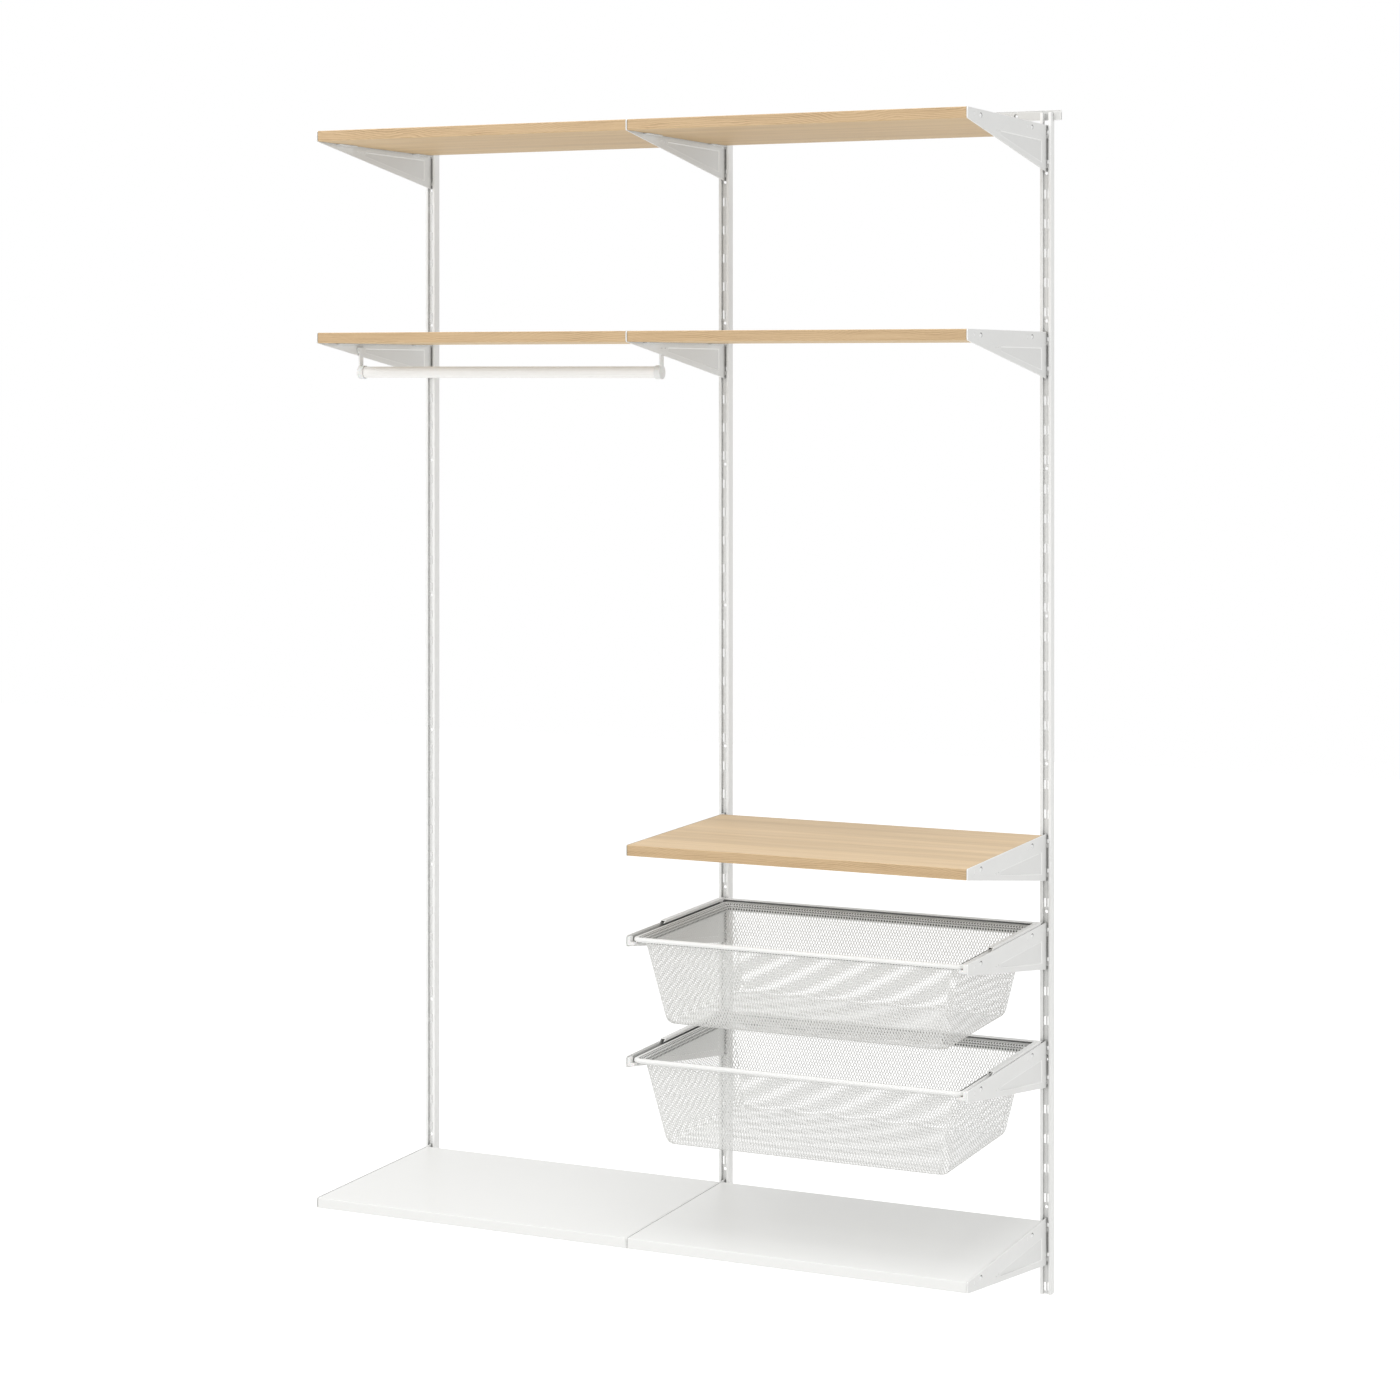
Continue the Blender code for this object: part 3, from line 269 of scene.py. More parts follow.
def powder_coat(name, shades=BRACKET_SHADES, gap=12 * MM, gap_open=0.62, gap_shade=0.25, pressed=False):
    """Powder coat: cloudy white, with a painted highlight over edges and painted shade deep in narrow gaps.
    """
    m = Coat(name)
    cloud = m.noise(m.place, 7.0, 4.0, 0.6)
    fleck = m.noise(m.place, 620.0, 2.0, 0.6)
    skin = m.mottle(m.weigh(fleck, 0.35, cloud), shades)
    if pressed:
        skin = pressed_panel(m, skin)
    # Painted highlight along the edges
    skin = m.mix(m.edges(EDGE_REACH), skin, PAINTED_EDGE_HIGHLIGHT)
    # Painted shade: deep in narrow gaps the colour goes towards gap_shade
    deep = m.span(m.crevices(gap), 1.0, 0.0, 0.1, gap_open)
    m.colour(m.mix(deep, skin, (gap_shade, gap_shade, gap_shade * 0.97, 1)), THROWN_BY_WHITE)
    m.roughness(m.noise(m.place, 60.0, 3.0, 0.6), 0.34, 0.48)
    m.bump(m.noise(m.place, 900.0, 2.0, 0.55), 0.55, 0.12 * MM)
    return m.material


def pressed_panel(m, skin):
    """A bracket's pressed panel: a painted highlight on its slopes and painted shade on its sunk floor, on
    the plate's right.
    """
    along, across = m.axes(m.place)[0], m.axes(m.facing())[0]
    pitch = UPRIGHT_PLACES["right"] - UPRIGHT_PLACES["middle"]
    nearest = m.math("MULTIPLY", m.math("ROUND", m.math("DIVIDE", along, pitch)), pitch)
    beside = m.math("SUBTRACT", along, nearest)
    # Painted shade: the sunk floor turns greyer
    sunk = m.math("MULTIPLY", m.span(beside, 1.0, 0.0, *BESIDE_FLOOR), m.span(across, 0.0, 1.0, 0.9, 0.96))
    skin = m.mix(sunk, skin, PANEL_FLOOR_SHADE)
    # Painted highlight: the panel's slopes turn lighter
    sideways = m.math("ABSOLUTE", across)
    slope = m.math("MULTIPLY", m.span(sideways, 0.0, 1.0, 0.5, 0.7), m.span(sideways, 1.0, 0.0, 0.9, 0.98))
    return m.mix(slope, skin, PAINTED_EDGE_HIGHLIGHT)


def expanded_metal_coat(name, shades):
    """The coat on thin strands, where steel greys it a little, and the near black of painted shadow inside a
    fold.
    """
    m = Coat(name)
    cloud = m.noise(m.place, 9.0, 3.0, 0.6)
    strand = m.noise(m.place, 420.0, 2.0, 0.6)
    m.colour(m.mottle(m.weigh(strand, 0.6, cloud), shades), THROWN_BY_WHITE)
    m.roughness(strand, 0.34, 0.5)
    m.bump(m.noise(m.place, 900.0, 2.0, 0.55), 0.5, 0.1 * MM)
    return m.material


def shelf_lacquer():
    """Smooth semi-gloss paint on folded sheet, with faint lengthwise draw marks."""
    m = Coat("Shelf_white_lacquer")
    drawn = m.noise(m.stretch((9.0, 160.0, 160.0)), 1.0, 2.0, 0.4)
    cloud = m.noise(m.place, 5.0, 3.0, 0.5)
    m.colour(m.mottle(m.weigh(drawn, 0.5, cloud), SHELF_SHADES), THROWN_BY_WHITE)
    m.roughness(drawn, 0.31, 0.34)
    m.bump(drawn, 0.05, 0.004 * MM)
    m.varnish(0.15, 0.2)
    return m.material


def oak_veneer(name, seed):
    """Oak with its grain along X: quiet straight bands on the faces, wavy arches on the edge strips."""
    m = Coat(name)
    place = m.vector("ADD", m.place, (seed * 1.37, seed * 0.113, seed * 0.71))["Vector"]
    height, upward = m.axes(place)[2], m.axes(m.facing())[2]
    on_edge = m.span(m.math("ABSOLUTE", upward), 1.0, 0.0)

    fibre = m.noise(m.stretch((7.0, 360.0, 360.0), place), 1.0, 4.0, 0.6)
    pores = m.noise(m.stretch((24.0, 1300.0, 1300.0), place), 1.0, 3.0, 0.65)
    bands = m.noise(m.stretch((0.6, 24.0, 24.0), place), 1.0, 3.0, 0.55)
    light, dark = FACE_SHADES
    face = m.ramp(m.weigh(fibre, 0.35, bands), [(0.36, light), (0.66, dark)])
    # Painted shade: downward faces are multiplied darker and warmer
    face = m.mix(m.span(upward, 1.0, 0.0, -0.9, -0.5), face, UNDERSIDE_PAINTED_SHADE, "MULTIPLY")

    # Rings cut at a slant by the edge: their height drifts along the board and ripples on the way.
    drift = m.noise(m.stretch((3.4, 0.5, 9.0), place), 1.0, 2.0, 0.5)
    ripple = m.noise(m.stretch((22.0, 40.0, 90.0), place), 1.0, 3.0, 0.6)
    height = m.math("MULTIPLY_ADD", drift, 75 * MM, height)
    height = m.math("MULTIPLY_ADD", ripple, 5 * MM, height)
    rings = m.math("FRACT", m.math("DIVIDE", height, GROWTH_RING))
    late = m.span(rings, 0.0, 1.0, 0.25, 1.0)
    patchy = m.span(m.noise(m.stretch((9.0, 30.0, 120.0), place), 1.0, 2.0, 0.5), 0.35, 1.0)
    edge_tone = m.weigh(m.math("MULTIPLY", late, patchy), 0.6, fibre)
    edge = m.ramp(edge_tone, [(0.15, EDGE_LIGHT), (0.5, EDGE_MIDDLE), (0.85, EDGE_DARK)])

    pore_mask = m.span(pores, 0.0, 0.35, 0.58, 0.76)
    m.colour(m.mix(pore_mask, m.mix(on_edge, face, edge), PORE), THROWN_BY_OAK)
    m.roughness(m.math("MULTIPLY_ADD", pore_mask, 0.6, fibre), 0.44, 0.64)
    m.bump(m.math("SUBTRACT", m.math("MULTIPLY", fibre, 0.4), pore_mask), 0.4, 0.1 * MM)
    m.varnish(0.06, 0.4)
    return m.material


def moulded_plastic():
    m = Coat("Runner_white_plastic")
    grain = m.noise(m.place, 1500.0, 2.0, 0.6)
    cloud = m.noise(m.place, 30.0, 3.0, 0.5)
    m.colour(m.mottle(cloud, RUNNER_SHADES))
    m.roughness(cloud, 0.3, 0.42)
    m.bump(grain, 0.35, 0.05 * MM)
    m.shader.inputs["Subsurface Weight"].default_value = 0.05
    m.shader.inputs["Subsurface Scale"].default_value = 2 * MM
    return m.material


def peg_plastic():
    m = Coat("Peg_white_plastic")
    cloud = m.noise(m.place, 260.0, 2.0, 0.5)
    m.colour(m.mottle(cloud, PEG_SHADES))
    m.roughness(cloud, 0.25, 0.4)
    m.bump(cloud, 0.2, 0.03 * MM)
    return m.material


def rail_lacquer():
    """Warm white lacquer on a drawn tube, with lengthwise drag marks."""
    m = Coat("Rail_warm_lacquer")
    drag = m.noise(m.stretch((4.0, 420.0, 420.0)), 1.0, 4.0, 0.6)
    cloud = m.noise(m.stretch((5.0, 30.0, 30.0)), 1.0, 3.0, 0.5)
    m.colour(m.mottle(m.weigh(drag, 0.5, cloud), RAIL_SHADES))
    m.roughness(drag, 0.24, 0.38)
    m.bump(drag, 0.3, 0.05 * MM)
    m.varnish(0.2, 0.15)
    return m.material


def dress_nodes():
    """Gives each CAD node its material, by the way its name starts."""
    plastic = moulded_plastic()
    materials = {
        # Each powder coat's gap, gap_open and gap_shade set the painted shade in its narrow gaps; the
        # runners' is near black
        "hanging_rail": powder_coat("Powder_coat_hanging_rail", HANGING_SHADES),
        "upright": powder_coat("Powder_coat_uprights", UPRIGHT_SHADES, gap_open=0.8, gap_shade=0.12),
        "bracket": powder_coat("Powder_coat_brackets", pressed=True),
        "white_shelf": shelf_lacquer(),
        "clothes_rail": rail_lacquer(),
        "rail_hanger": plastic,
        "basket": powder_coat("Basket_wire_coat", gap=4 * MM, gap_open=0.45, gap_shade=0.4),
        "runner_cap": plastic,
        "runner": powder_coat("Powder_coat_runners", gap=30 * MM, gap_open=0.66, gap_shade=0.06),
    }
    boards = sorted(name for name in NODES if name.startswith("oak_shelf"))
    for seed, name in enumerate(boards, 1):
        materials[name] = oak_veneer("Oak_" + name.removeprefix("oak_shelf_"), seed)
    for name, item in NODES.items():
        chosen = next(material for start, material in materials.items() if name.startswith(start))
        for slot in item.material_slots:
            slot.link = "OBJECT"
            slot.material = chosen


# ---------------------------------------------------------------------------------------------------
# Smooth shading of the CAD nodes' round forms, as a modifier
# ---------------------------------------------------------------------------------------------------
SMOOTH_BELOW = math.radians(34)


def smooth_group():
    group = bpy.data.node_groups.new("Smooth_round_forms", "GeometryNodeTree")
    group.interface.new_socket("Geometry", in_out="INPUT", socket_type="NodeSocketGeometry")
    group.interface.new_socket("Geometry", in_out="OUTPUT", socket_type="NodeSocketGeometry")
    start, end = group.nodes.new("NodeGroupInput"), group.nodes.new("NodeGroupOutput")
    angle = group.nodes.new("GeometryNodeInputMeshEdgeAngle")
    under = group.nodes.new("FunctionNodeCompare")
    under.operation = "LESS_THAN"
    under.inputs["B"].default_value = SMOOTH_BELOW
    faces, edges = (group.nodes.new("GeometryNodeSetShadeSmooth") for _ in range(2))
    faces.domain, edges.domain = "FACE", "EDGE"
    link = group.links.new
    link(start.outputs[0], faces.inputs["Geometry"])
    link(faces.outputs[0], edges.inputs["Geometry"])
    link(angle.outputs["Unsigned Angle"], under.inputs["A"])
    link(under.outputs["Result"], edges.inputs["Shade Smooth"])
    link(edges.outputs[0], end.inputs[0])
    return group


def soften_nodes():
    group = smooth_group()
    for item in NODES.values():
        modifier = item.modifiers.new("Smooth_round_forms", "NODES")
        modifier.node_group = group


# ---------------------------------------------------------------------------------------------------
# Basket pans of expanded metal: every hole is real, and the surface is the CAD pan's.
# Lengths in this section are millimetres. Only what the frame gives and the mesh's vertices are metres.
# ---------------------------------------------------------------------------------------------------
def in_mm(value):
    """A place on the CAD's mesh, to a tenth of a millimetre."""
    return round(value / MM, 1)


def basket_level(body):
    """The lower edge of the brackets that carry a basket. The heights in the tables are over it."""
    return in_mm(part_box("bracket_" + body + "_right")[0][2])


BASKETS = ("basket_upper", "basket_lower")
RIM_LOW, RIM_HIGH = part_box("basket_upper_rim")
RIM_WIRE = (RIM_HIGH[2] - RIM_LOW[2]) / 2
RIM_X = in_mm(RIM_LOW[0] + RIM_WIRE), in_mm(RIM_HIGH[0] - RIM_WIRE)  # of the wire's centre line
RIM_Y = in_mm(RIM_LOW[1] + RIM_WIRE), in_mm(RIM_HIGH[1] - RIM_WIRE)
# (height over the level, side inset, front inset, back inset, corner radius), from the rim's centre line
WALL_LEVELS = (
    (71.0, 10.5, 12.5, 13.5, 9.0),
    (-60.0, 37.0, 33.5, 33.5, 12.0),
    (-65.5, 39.2, 35.7, 35.7, 12.0),
    (-69.2, 42.6, 39.4, 39.4, 11.0),
    (-70.6, 47.0, 44.0, 44.0, 10.0),
)
ROLL_LEVELS = (  # the hem's upper part, rolled towards the rim
    (76.0, 4.9, 4.9, 4.9, 8.2),
    (71.3, 10.3, 12.3, 13.3, 9.0),
)
SHEET_HALF = 0.3
LONG_HALF, SHORT_HALF = 5.0, 2.5  # half of a diamond cell
HOLE_SHARE = (0.63, 0.71)  # of the diamond cell's short and long width
STRAND_TILT = 0.6  # the strands are twisted: a hole's edge on one short side stands out, the other in
HEM_DEPTH = 6.0
HEM_SHARE, HEM_FIRST_ROW = (0.70, 0.42), 3.4  # rounder holes, in a row this far under the top
NO_HOLE = (0.0, 0.0)
FOLDED_IN, FOLD_SHADOW_STRIP_IN, ROLL_SHADOW_STRIP_IN = 2.0, 1.0, -1.4  # the fold's layers, inwards from the wall or roll; the last two are dark strips of painted shadow
EDGE_BAND = 0.35  # a hole stays this far from the edge of a wall or corner
SMALLEST_HOLE = 0.6  # in square millimetres
SMALLEST_RADIUS = 1.0
CORNER_RUN = 15.0  # how much flat sheet a rounded corner takes up
LEAN_STEP = 0.5  # a wall's lean is taken over this much above and below
BOTTOM_STEPS = 6  # in each rounded corner of the bottom
ON_LINE, NOTHING = 1e-9, 1e-6
# Of each wall: its place in what ring() gives, which way on its axis is outwards, and which way p runs on the
# other axis, so that p, up and outwards are right-handed
WALLS = {"front": (2, -1, 1), "right": (1, 1, 1), "back": (3, 1, -1), "left": (0, -1, -1)}
CORNERS = {(1, -1): -0.5, (1, 1): 0.0, (-1, 1): 0.5, (-1, -1): 1.0}  # (side in X, in Y): start in half turns


def clip(polygon, planes):
    """A convex polygon cut by half planes (a, b, c), which keep a x + b y <= c."""
    for a, b, c in planes:
        kept = []
        for index, here in enumerate(polygon):
            there = polygon[(index + 1) % len(polygon)]
            in_here = a * here[0] + b * here[1] - c
            in_there = a * there[0] + b * there[1] - c
            if in_here <= ON_LINE:
                kept.append(here)
            if (in_here < -ON_LINE and in_there > ON_LINE) or (in_here > ON_LINE and in_there < -ON_LINE):
                part = in_here / (in_here - in_there)
                kept.append((here[0] + part * (there[0] - here[0]), here[1] + part * (there[1] - here[1])))
        polygon = kept
        if len(polygon) < 3:
            return []
    return polygon


def area_of(polygon):
    total = 0.0
    for index, (x, y) in enumerate(polygon):
        next_x, next_y = polygon[(index + 1) % len(polygon)]
        total += x * next_y - next_x * y
    return total / 2


def planes_of(polygon, margin=0.0):
    """The half planes of a convex polygon that runs anticlockwise, each moved in by the margin."""
    planes = []
    for index, here in enumerate(polygon):
        there = polygon[(index + 1) % len(polygon)]
        dx, dy = there[0] - here[0], there[1] - here[1]
        length = math.hypot(dx, dy)
        if length > ON_LINE:
            a, b = dy / length, -dx / length
            planes.append((a, b, a * here[0] + b * here[1] - margin))
    return planes


def bridge(outer, hole):
    """Faces between two convex loops, as lists of (loop, index). Four by four corners give quads."""
    if len(outer) == 4 and len(hole) == 4:
        return [[(0, n), (0, (n + 1) % 4), (1, (n + 1) % 4), (1, n)] for n in range(4)]
    centre = (sum(p for p, _ in hole) / len(hole), sum(q for _, q in hole) / len(hole))

    def turned(loop):
        angles = [math.atan2(q - centre[1], p - centre[0]) for p, q in loop]
        first = min(range(len(loop)), key=lambda n: angles[n])
        order = [(first + n) % len(loop) for n in range(len(loop))]
        return order, [angles[n] for n in order] + [angles[first] + math.tau]

    outer_order, outer_angles = turned(outer)
    hole_order, hole_angles = turned(hole)
    faces, i, j = [], 0, 0
    while i < len(outer) or j < len(hole):
        at_outer = (0, outer_order[i % len(outer)])
        at_hole = (1, hole_order[j % len(hole)])
        if j >= len(hole) or (i < len(outer) and outer_angles[i + 1] <= hole_angles[j + 1]):
            i += 1
            faces.append([at_outer, (0, outer_order[i % len(outer)]), at_hole])
        else:
            j += 1
            faces.append([at_outer, (1, hole_order[j % len(hole)]), at_hole])
    return faces


class Sheet:
    """Collects the vertices and faces of one pan."""

    def __init__(self):
        self.points, self.faces, self.index = [], [], {}
        self.coat, self.coats = 0, []
        self.hem_from = math.inf  # above this height up a wall the holes are the hem's

    def vertex(self, point):
        key = (round(point[0], 4), round(point[1], 4), round(point[2], 4))
        if key not in self.index:
            self.index[key] = len(self.points)
            self.points.append(tuple(value * MM for value in point))
        return self.index[key]

    def face(self, corners):
        clean = [corner for index, corner in enumerate(corners) if corner != corners[index - 1]]
        if len(clean) >= 3 and len(set(clean)) == len(clean):
            self.faces.append(clean)
            self.coats.append(self.coat)

    def patch(self, surface, outline, halves, share, start, thin_rows=(), tilt=(0.0, 0.0)):
        """Fills a convex outline with diamond cells. surface(p, q, h) gives a place h over the sheet.

        halves is half a cell's width and height. On the thin rows, which are free edges or folds, the
        sheet's two faces meet. tilt is how much a hole's rim rises over the sheet along p and q.
        """
        half_wide, half_high = halves
        whole, inner = planes_of(outline), planes_of(outline, EDGE_BAND)
        low_p, high_p = min(p for p, _ in outline), max(p for p, _ in outline)
        low_q, high_q = min(q for _, q in outline), max(q for _, q in outline)
        first_i = math.floor((low_p - start[0]) / half_wide) - 1
        last_i = math.ceil((high_p - start[0]) / half_wide) + 1
        first_j = math.floor((low_q - start[1]) / half_high) - 1
        last_j = math.ceil((high_q - start[1]) / half_high) + 1
        for j in range(first_j, last_j + 1):
            for i in range(first_i, last_i + 1):
                if (i + j) % 2:
                    continue
                p, q = start[0] + i * half_wide, start[1] + j * half_high
                cell = [(p + half_wide, q), (p, q + half_high), (p - half_wide, q), (p, q - half_high)]
                outer = clip(cell, whole)
                if len(outer) < 3 or area_of(outer) < NOTHING:
                    continue
                wide, high = HEM_SHARE if q > self.hem_from else share
                hole = clip([(p + (a - p) * wide, q + (b - q) * high) for a, b in cell], inner)
                if len(hole) < 3 or area_of(hole) < SMALLEST_HOLE:
                    hole = []
                self.cell(surface, outer, hole, thin_rows, lambda a, b: tilt[0] * (a - p) + tilt[1] * (b - q))

    def cell(self, surface, outer, hole, thin_rows, twist):
        def thickness(q):
            return 0.0 if any(abs(q - row) < NOTHING for row in thin_rows) else SHEET_HALF

        for side in (1, -1):
            ring = [self.vertex(surface(p, q, side * thickness(q))) for p, q in outer]
            if not hole:
                self.face(ring if side > 0 else ring[::-1])
                continue
            border = [self.vertex(surface(p, q, twist(p, q))) for p, q in hole]
            for corners in bridge(outer, hole):
                face = [ring[index] if loop == 0 else border[index] for loop, index in corners]
                self.face(face if side > 0 else face[::-1])


def corner_centre(ring, x_side, y_side):
    low_x, high_x, low_y, high_y, radius, _ = ring
    x = high_x - radius if x_side > 0 else low_x + radius
    y = high_y - radius if y_side > 0 else low_y + radius
    return x, y


class PanSurface:
    """Maps a distance down the profile to the pan's rounded rectangle there."""

    def __init__(self, level, rows, inward=0.0):
        self.level, self.rows, self.inward = level, rows, inward
        self.run = [0.0]
        for above, below in zip(rows, rows[1:]):
            drop = math.hypot(below[0] - above[0], below[2] - above[2])
            self.run.append(self.run[-1] + drop)

    def at(self, q):
        """The row values at distance q from the top."""
        q = min(max(q, 0.0), self.run[-1])
        for index in range(len(self.rows) - 1):
            if q <= self.run[index + 1] or index == len(self.rows) - 2:
                part = (q - self.run[index]) / (self.run[index + 1] - self.run[index])
                above, below = self.rows[index], self.rows[index + 1]
                return [a + part * (b - a) for a, b in zip(above, below)]

    def ring(self, q):
        """The left, right, front and back of the rounded rectangle, its corner radius and its height."""
        height, side, front, back, radius = self.at(q)
        inset = self.inward + SHEET_HALF
        return (
            RIM_X[0] + side + inset,
            RIM_X[1] - side - inset,
            RIM_Y[0] + front + inset,
            RIM_Y[1] - back - inset,
            max(radius - inset, SMALLEST_RADIUS),
            self.level + height,
        )

    def lean(self, q, turn):
        """How the outward normal at q splits into its level part and its upward part."""
        first, second = self.ring(max(q - LEAN_STEP, 0.0)), self.ring(min(q + LEAN_STEP, self.run[-1]))
        index = WALLS[turn][0]
        inwards, down = abs(second[index] - first[index]), first[5] - second[5]
        length = math.hypot(inwards, down)
        return down / length, -inwards / length

    def wall(self, turn):
        """surface(p, q, h) and its outline for a flat wall. p runs along X or Y, q goes up from the foot."""
        total = self.run[-1]
        index, outwards, way = WALLS[turn]
        along_x = turn in ("front", "back")

        def surface(p, q, h):
            ring = self.ring(total - q)
            flat, lift = self.lean(total - q, turn)
            across, height = ring[index] + outwards * h * flat, ring[5] + h * lift
            return (way * p, across, height) if along_x else (across, way * p, height)

        lows, highs = [], []
        for q in self.run:
            ring = self.ring(q)
            low, high = ring[:2] if along_x else ring[2:4]
            low, high = sorted((way * (low + ring[4]), way * (high - ring[4])))
            lows.append((low, total - q))
            highs.append((high, total - q))
        return surface, lows + highs[::-1]

    def corner(self, x_side, y_side):
        """The same for a quarter of a cone between two walls. p runs round it."""
        total = self.run[-1]
        start = CORNERS[x_side, y_side] * math.pi

        def surface(p, q, h):
            ring = self.ring(total - q)
            flat, lift = self.lean(total - q, "front")
            angle = start + p / CORNER_RUN * math.pi / 2
            x, y = corner_centre(ring, x_side, y_side)
            reach = ring[4] + h * flat
            return (x + reach * math.cos(angle), y + reach * math.sin(angle), ring[5] + h * lift)

        return surface, [(0.0, 0.0), (CORNER_RUN, 0.0), (CORNER_RUN, total), (0.0, total)]


def add_band(sheet, pan, share, tilt=0.0, free_foot=True, hem=False, shift=0.0):
    """The four walls and four corners of one profile, each with its diamonds as the folded sheet has them.

    The long diagonals stand in front, behind and in the corners, and lie at the sides, but for the hem,
    where all stand. The strands twist about them.
    """
    total = pan.run[-1]
    thin = (0.0, total) if free_foot else (total,)
    first_row = total - HEM_FIRST_ROW if hem else total
    standing, lying = (SHORT_HALF, LONG_HALF), (LONG_HALF, SHORT_HALF)
    for turn, (_, _, way) in WALLS.items():
        surface, outline = pan.wall(turn)
        middle = sum(RIM_X if turn in ("front", "back") else RIM_Y) / 2 * way + shift
        twist = (tilt if turn == "front" else -tilt) / SHORT_HALF
        if hem or turn in ("front", "back"):
            sheet.patch(surface, outline, standing, share, (middle, first_row), thin, (twist, 0.0))
        else:
            sheet.patch(surface, outline, lying, share[::-1], (middle, first_row), thin, (0.0, twist))
    for x_side, y_side in sorted(CORNERS):
        surface, outline = pan.corner(x_side, y_side)
        twist = -y_side * tilt / SHORT_HALF
        sheet.patch(surface, outline, standing, share, (shift, first_row), thin, (twist, 0.0))


def add_bottom(sheet, ring):
    low_x, high_x, low_y, high_y, radius, height = ring
    outline = []
    for (x_side, y_side), start in CORNERS.items():
        x, y = corner_centre(ring, x_side, y_side)
        for step in range(BOTTOM_STEPS + 1):
            angle = (start + step / (2 * BOTTOM_STEPS)) * math.pi
            outline.append((x + radius * math.cos(angle), y + radius * math.sin(angle)))

    def surface(p, q, h):
        return (p, q, height + h)

    middle = ((low_x + high_x) / 2, (low_y + high_y) / 2)
    tilt = (-STRAND_TILT / SHORT_HALF, 0.0)
    sheet.patch(surface, outline, (SHORT_HALF, LONG_HALF), HOLE_SHARE, middle, tilt=tilt)


def make_pan(name, level, materials):
    """The mesh of one pan. materials are the strands' and the painted shadow in the fold."""
    sheet, walls = Sheet(), PanSurface(level, WALL_LEVELS)
    sheet.hem_from = walls.run[-1] - HEM_DEPTH
    add_band(sheet, walls, HOLE_SHARE, STRAND_TILT, free_foot=False)
    sheet.hem_from = math.inf
    # The folded hem: a layer inside the wall, a roll above it, and behind the holes of each a dark strip of
    # painted shadow
    top, foot = WALL_LEVELS[0], WALL_LEVELS[1]
    part = HEM_DEPTH / (top[0] - foot[0])
    hem = (top, tuple(a + part * (b - a) for a, b in zip(top, foot)))
    add_band(sheet, PanSurface(level, hem, FOLDED_IN), HEM_SHARE, hem=True)
    add_band(sheet, PanSurface(level, ROLL_LEVELS), HEM_SHARE, hem=True, shift=SHORT_HALF)
    # Dark strips of painted shadow, standing for the shade between the fold's layers
    sheet.coat = 1
    add_band(sheet, PanSurface(level, hem, FOLD_SHADOW_STRIP_IN), NO_HOLE)
    add_band(sheet, PanSurface(level, ROLL_LEVELS, ROLL_SHADOW_STRIP_IN), NO_HOLE)
    sheet.coat = 0
    add_bottom(sheet, walls.ring(walls.run[-1]))
    return mesh_object(name, sheet.points, sheet.faces, materials, sheet.coats)


def make_baskets(materials):
    for body in BASKETS:
        mesh = make_pan(body + "_mesh", basket_level(body), materials)
        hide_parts(body + "_pan")
        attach(mesh, body)


# ---------------------------------------------------------------------------------------------------
# White pegs that lock the shelves in the brackets' round holes, and lugs in the slits. A thin dark disc
# behind each head is painted shadow, standing for the shaded clearance of its hole.
# ---------------------------------------------------------------------------------------------------
PEG_HOLES_Y, LUG_SLITS_Y = (-340.5 * MM, -90 * MM), (-369 * MM, -111.5 * MM)
PEG_UNDER_TOP = 9.6 * MM  # from the bracket's top to the centre of the holes
PLATE_HALF = 1 * MM
PEG_RADIUS, PEG_SIDES = 2.9 * MM, 16
HEAD_HALF_LONG, HEAD_HALF_HIGH, HEAD_THICK, HEAD_TAPER = 5.0 * MM, 3.2 * MM, 0.6 * MM, 0.8
# The dark discs of painted shadow behind the heads
SHADOW_DISC_HALF_LONG, SHADOW_DISC_HALF_HIGH, SHADOW_DISC_THICK = 5.6 * MM, 3.8 * MM, 0.08 * MM
SHADOW_DISC_BACK, SHADOW_DISC_UP = 1.4 * MM, 0.6 * MM  # the disc of painted shadow shows at the hole's back and top, as if the peg hung at its front and foot
LUG_HALF_LONG, LUG_HALF_HIGH = 1.2 * MM, 3.1 * MM


def add_turned(points, faces, place, rings, sides, turn=0.0):
    """A closed body along X through a list of rings (x, half length along Y, half height)."""
    first = len(points)
    for x, long, high in rings:
        for step in range(sides):
            angle = turn + math.tau * step / sides
            y, z = place[1] + long * math.cos(angle), place[2] + high * math.sin(angle)
            points.append((place[0] + x, y, z))
    for ring in range(len(rings) - 1):
        for step in range(sides):
            a, b = first + ring * sides + step, first + ring * sides + (step + 1) % sides
            faces.append((a, b, b + sides, a + sides))
    last = first + (len(rings) - 1) * sides
    faces.append(tuple(first + step for step in reversed(range(sides))))
    faces.append(tuple(last + step for step in range(sides)))


def mirrored(rings):
    return [(-x, long, high) for x, long, high in reversed(rings)]


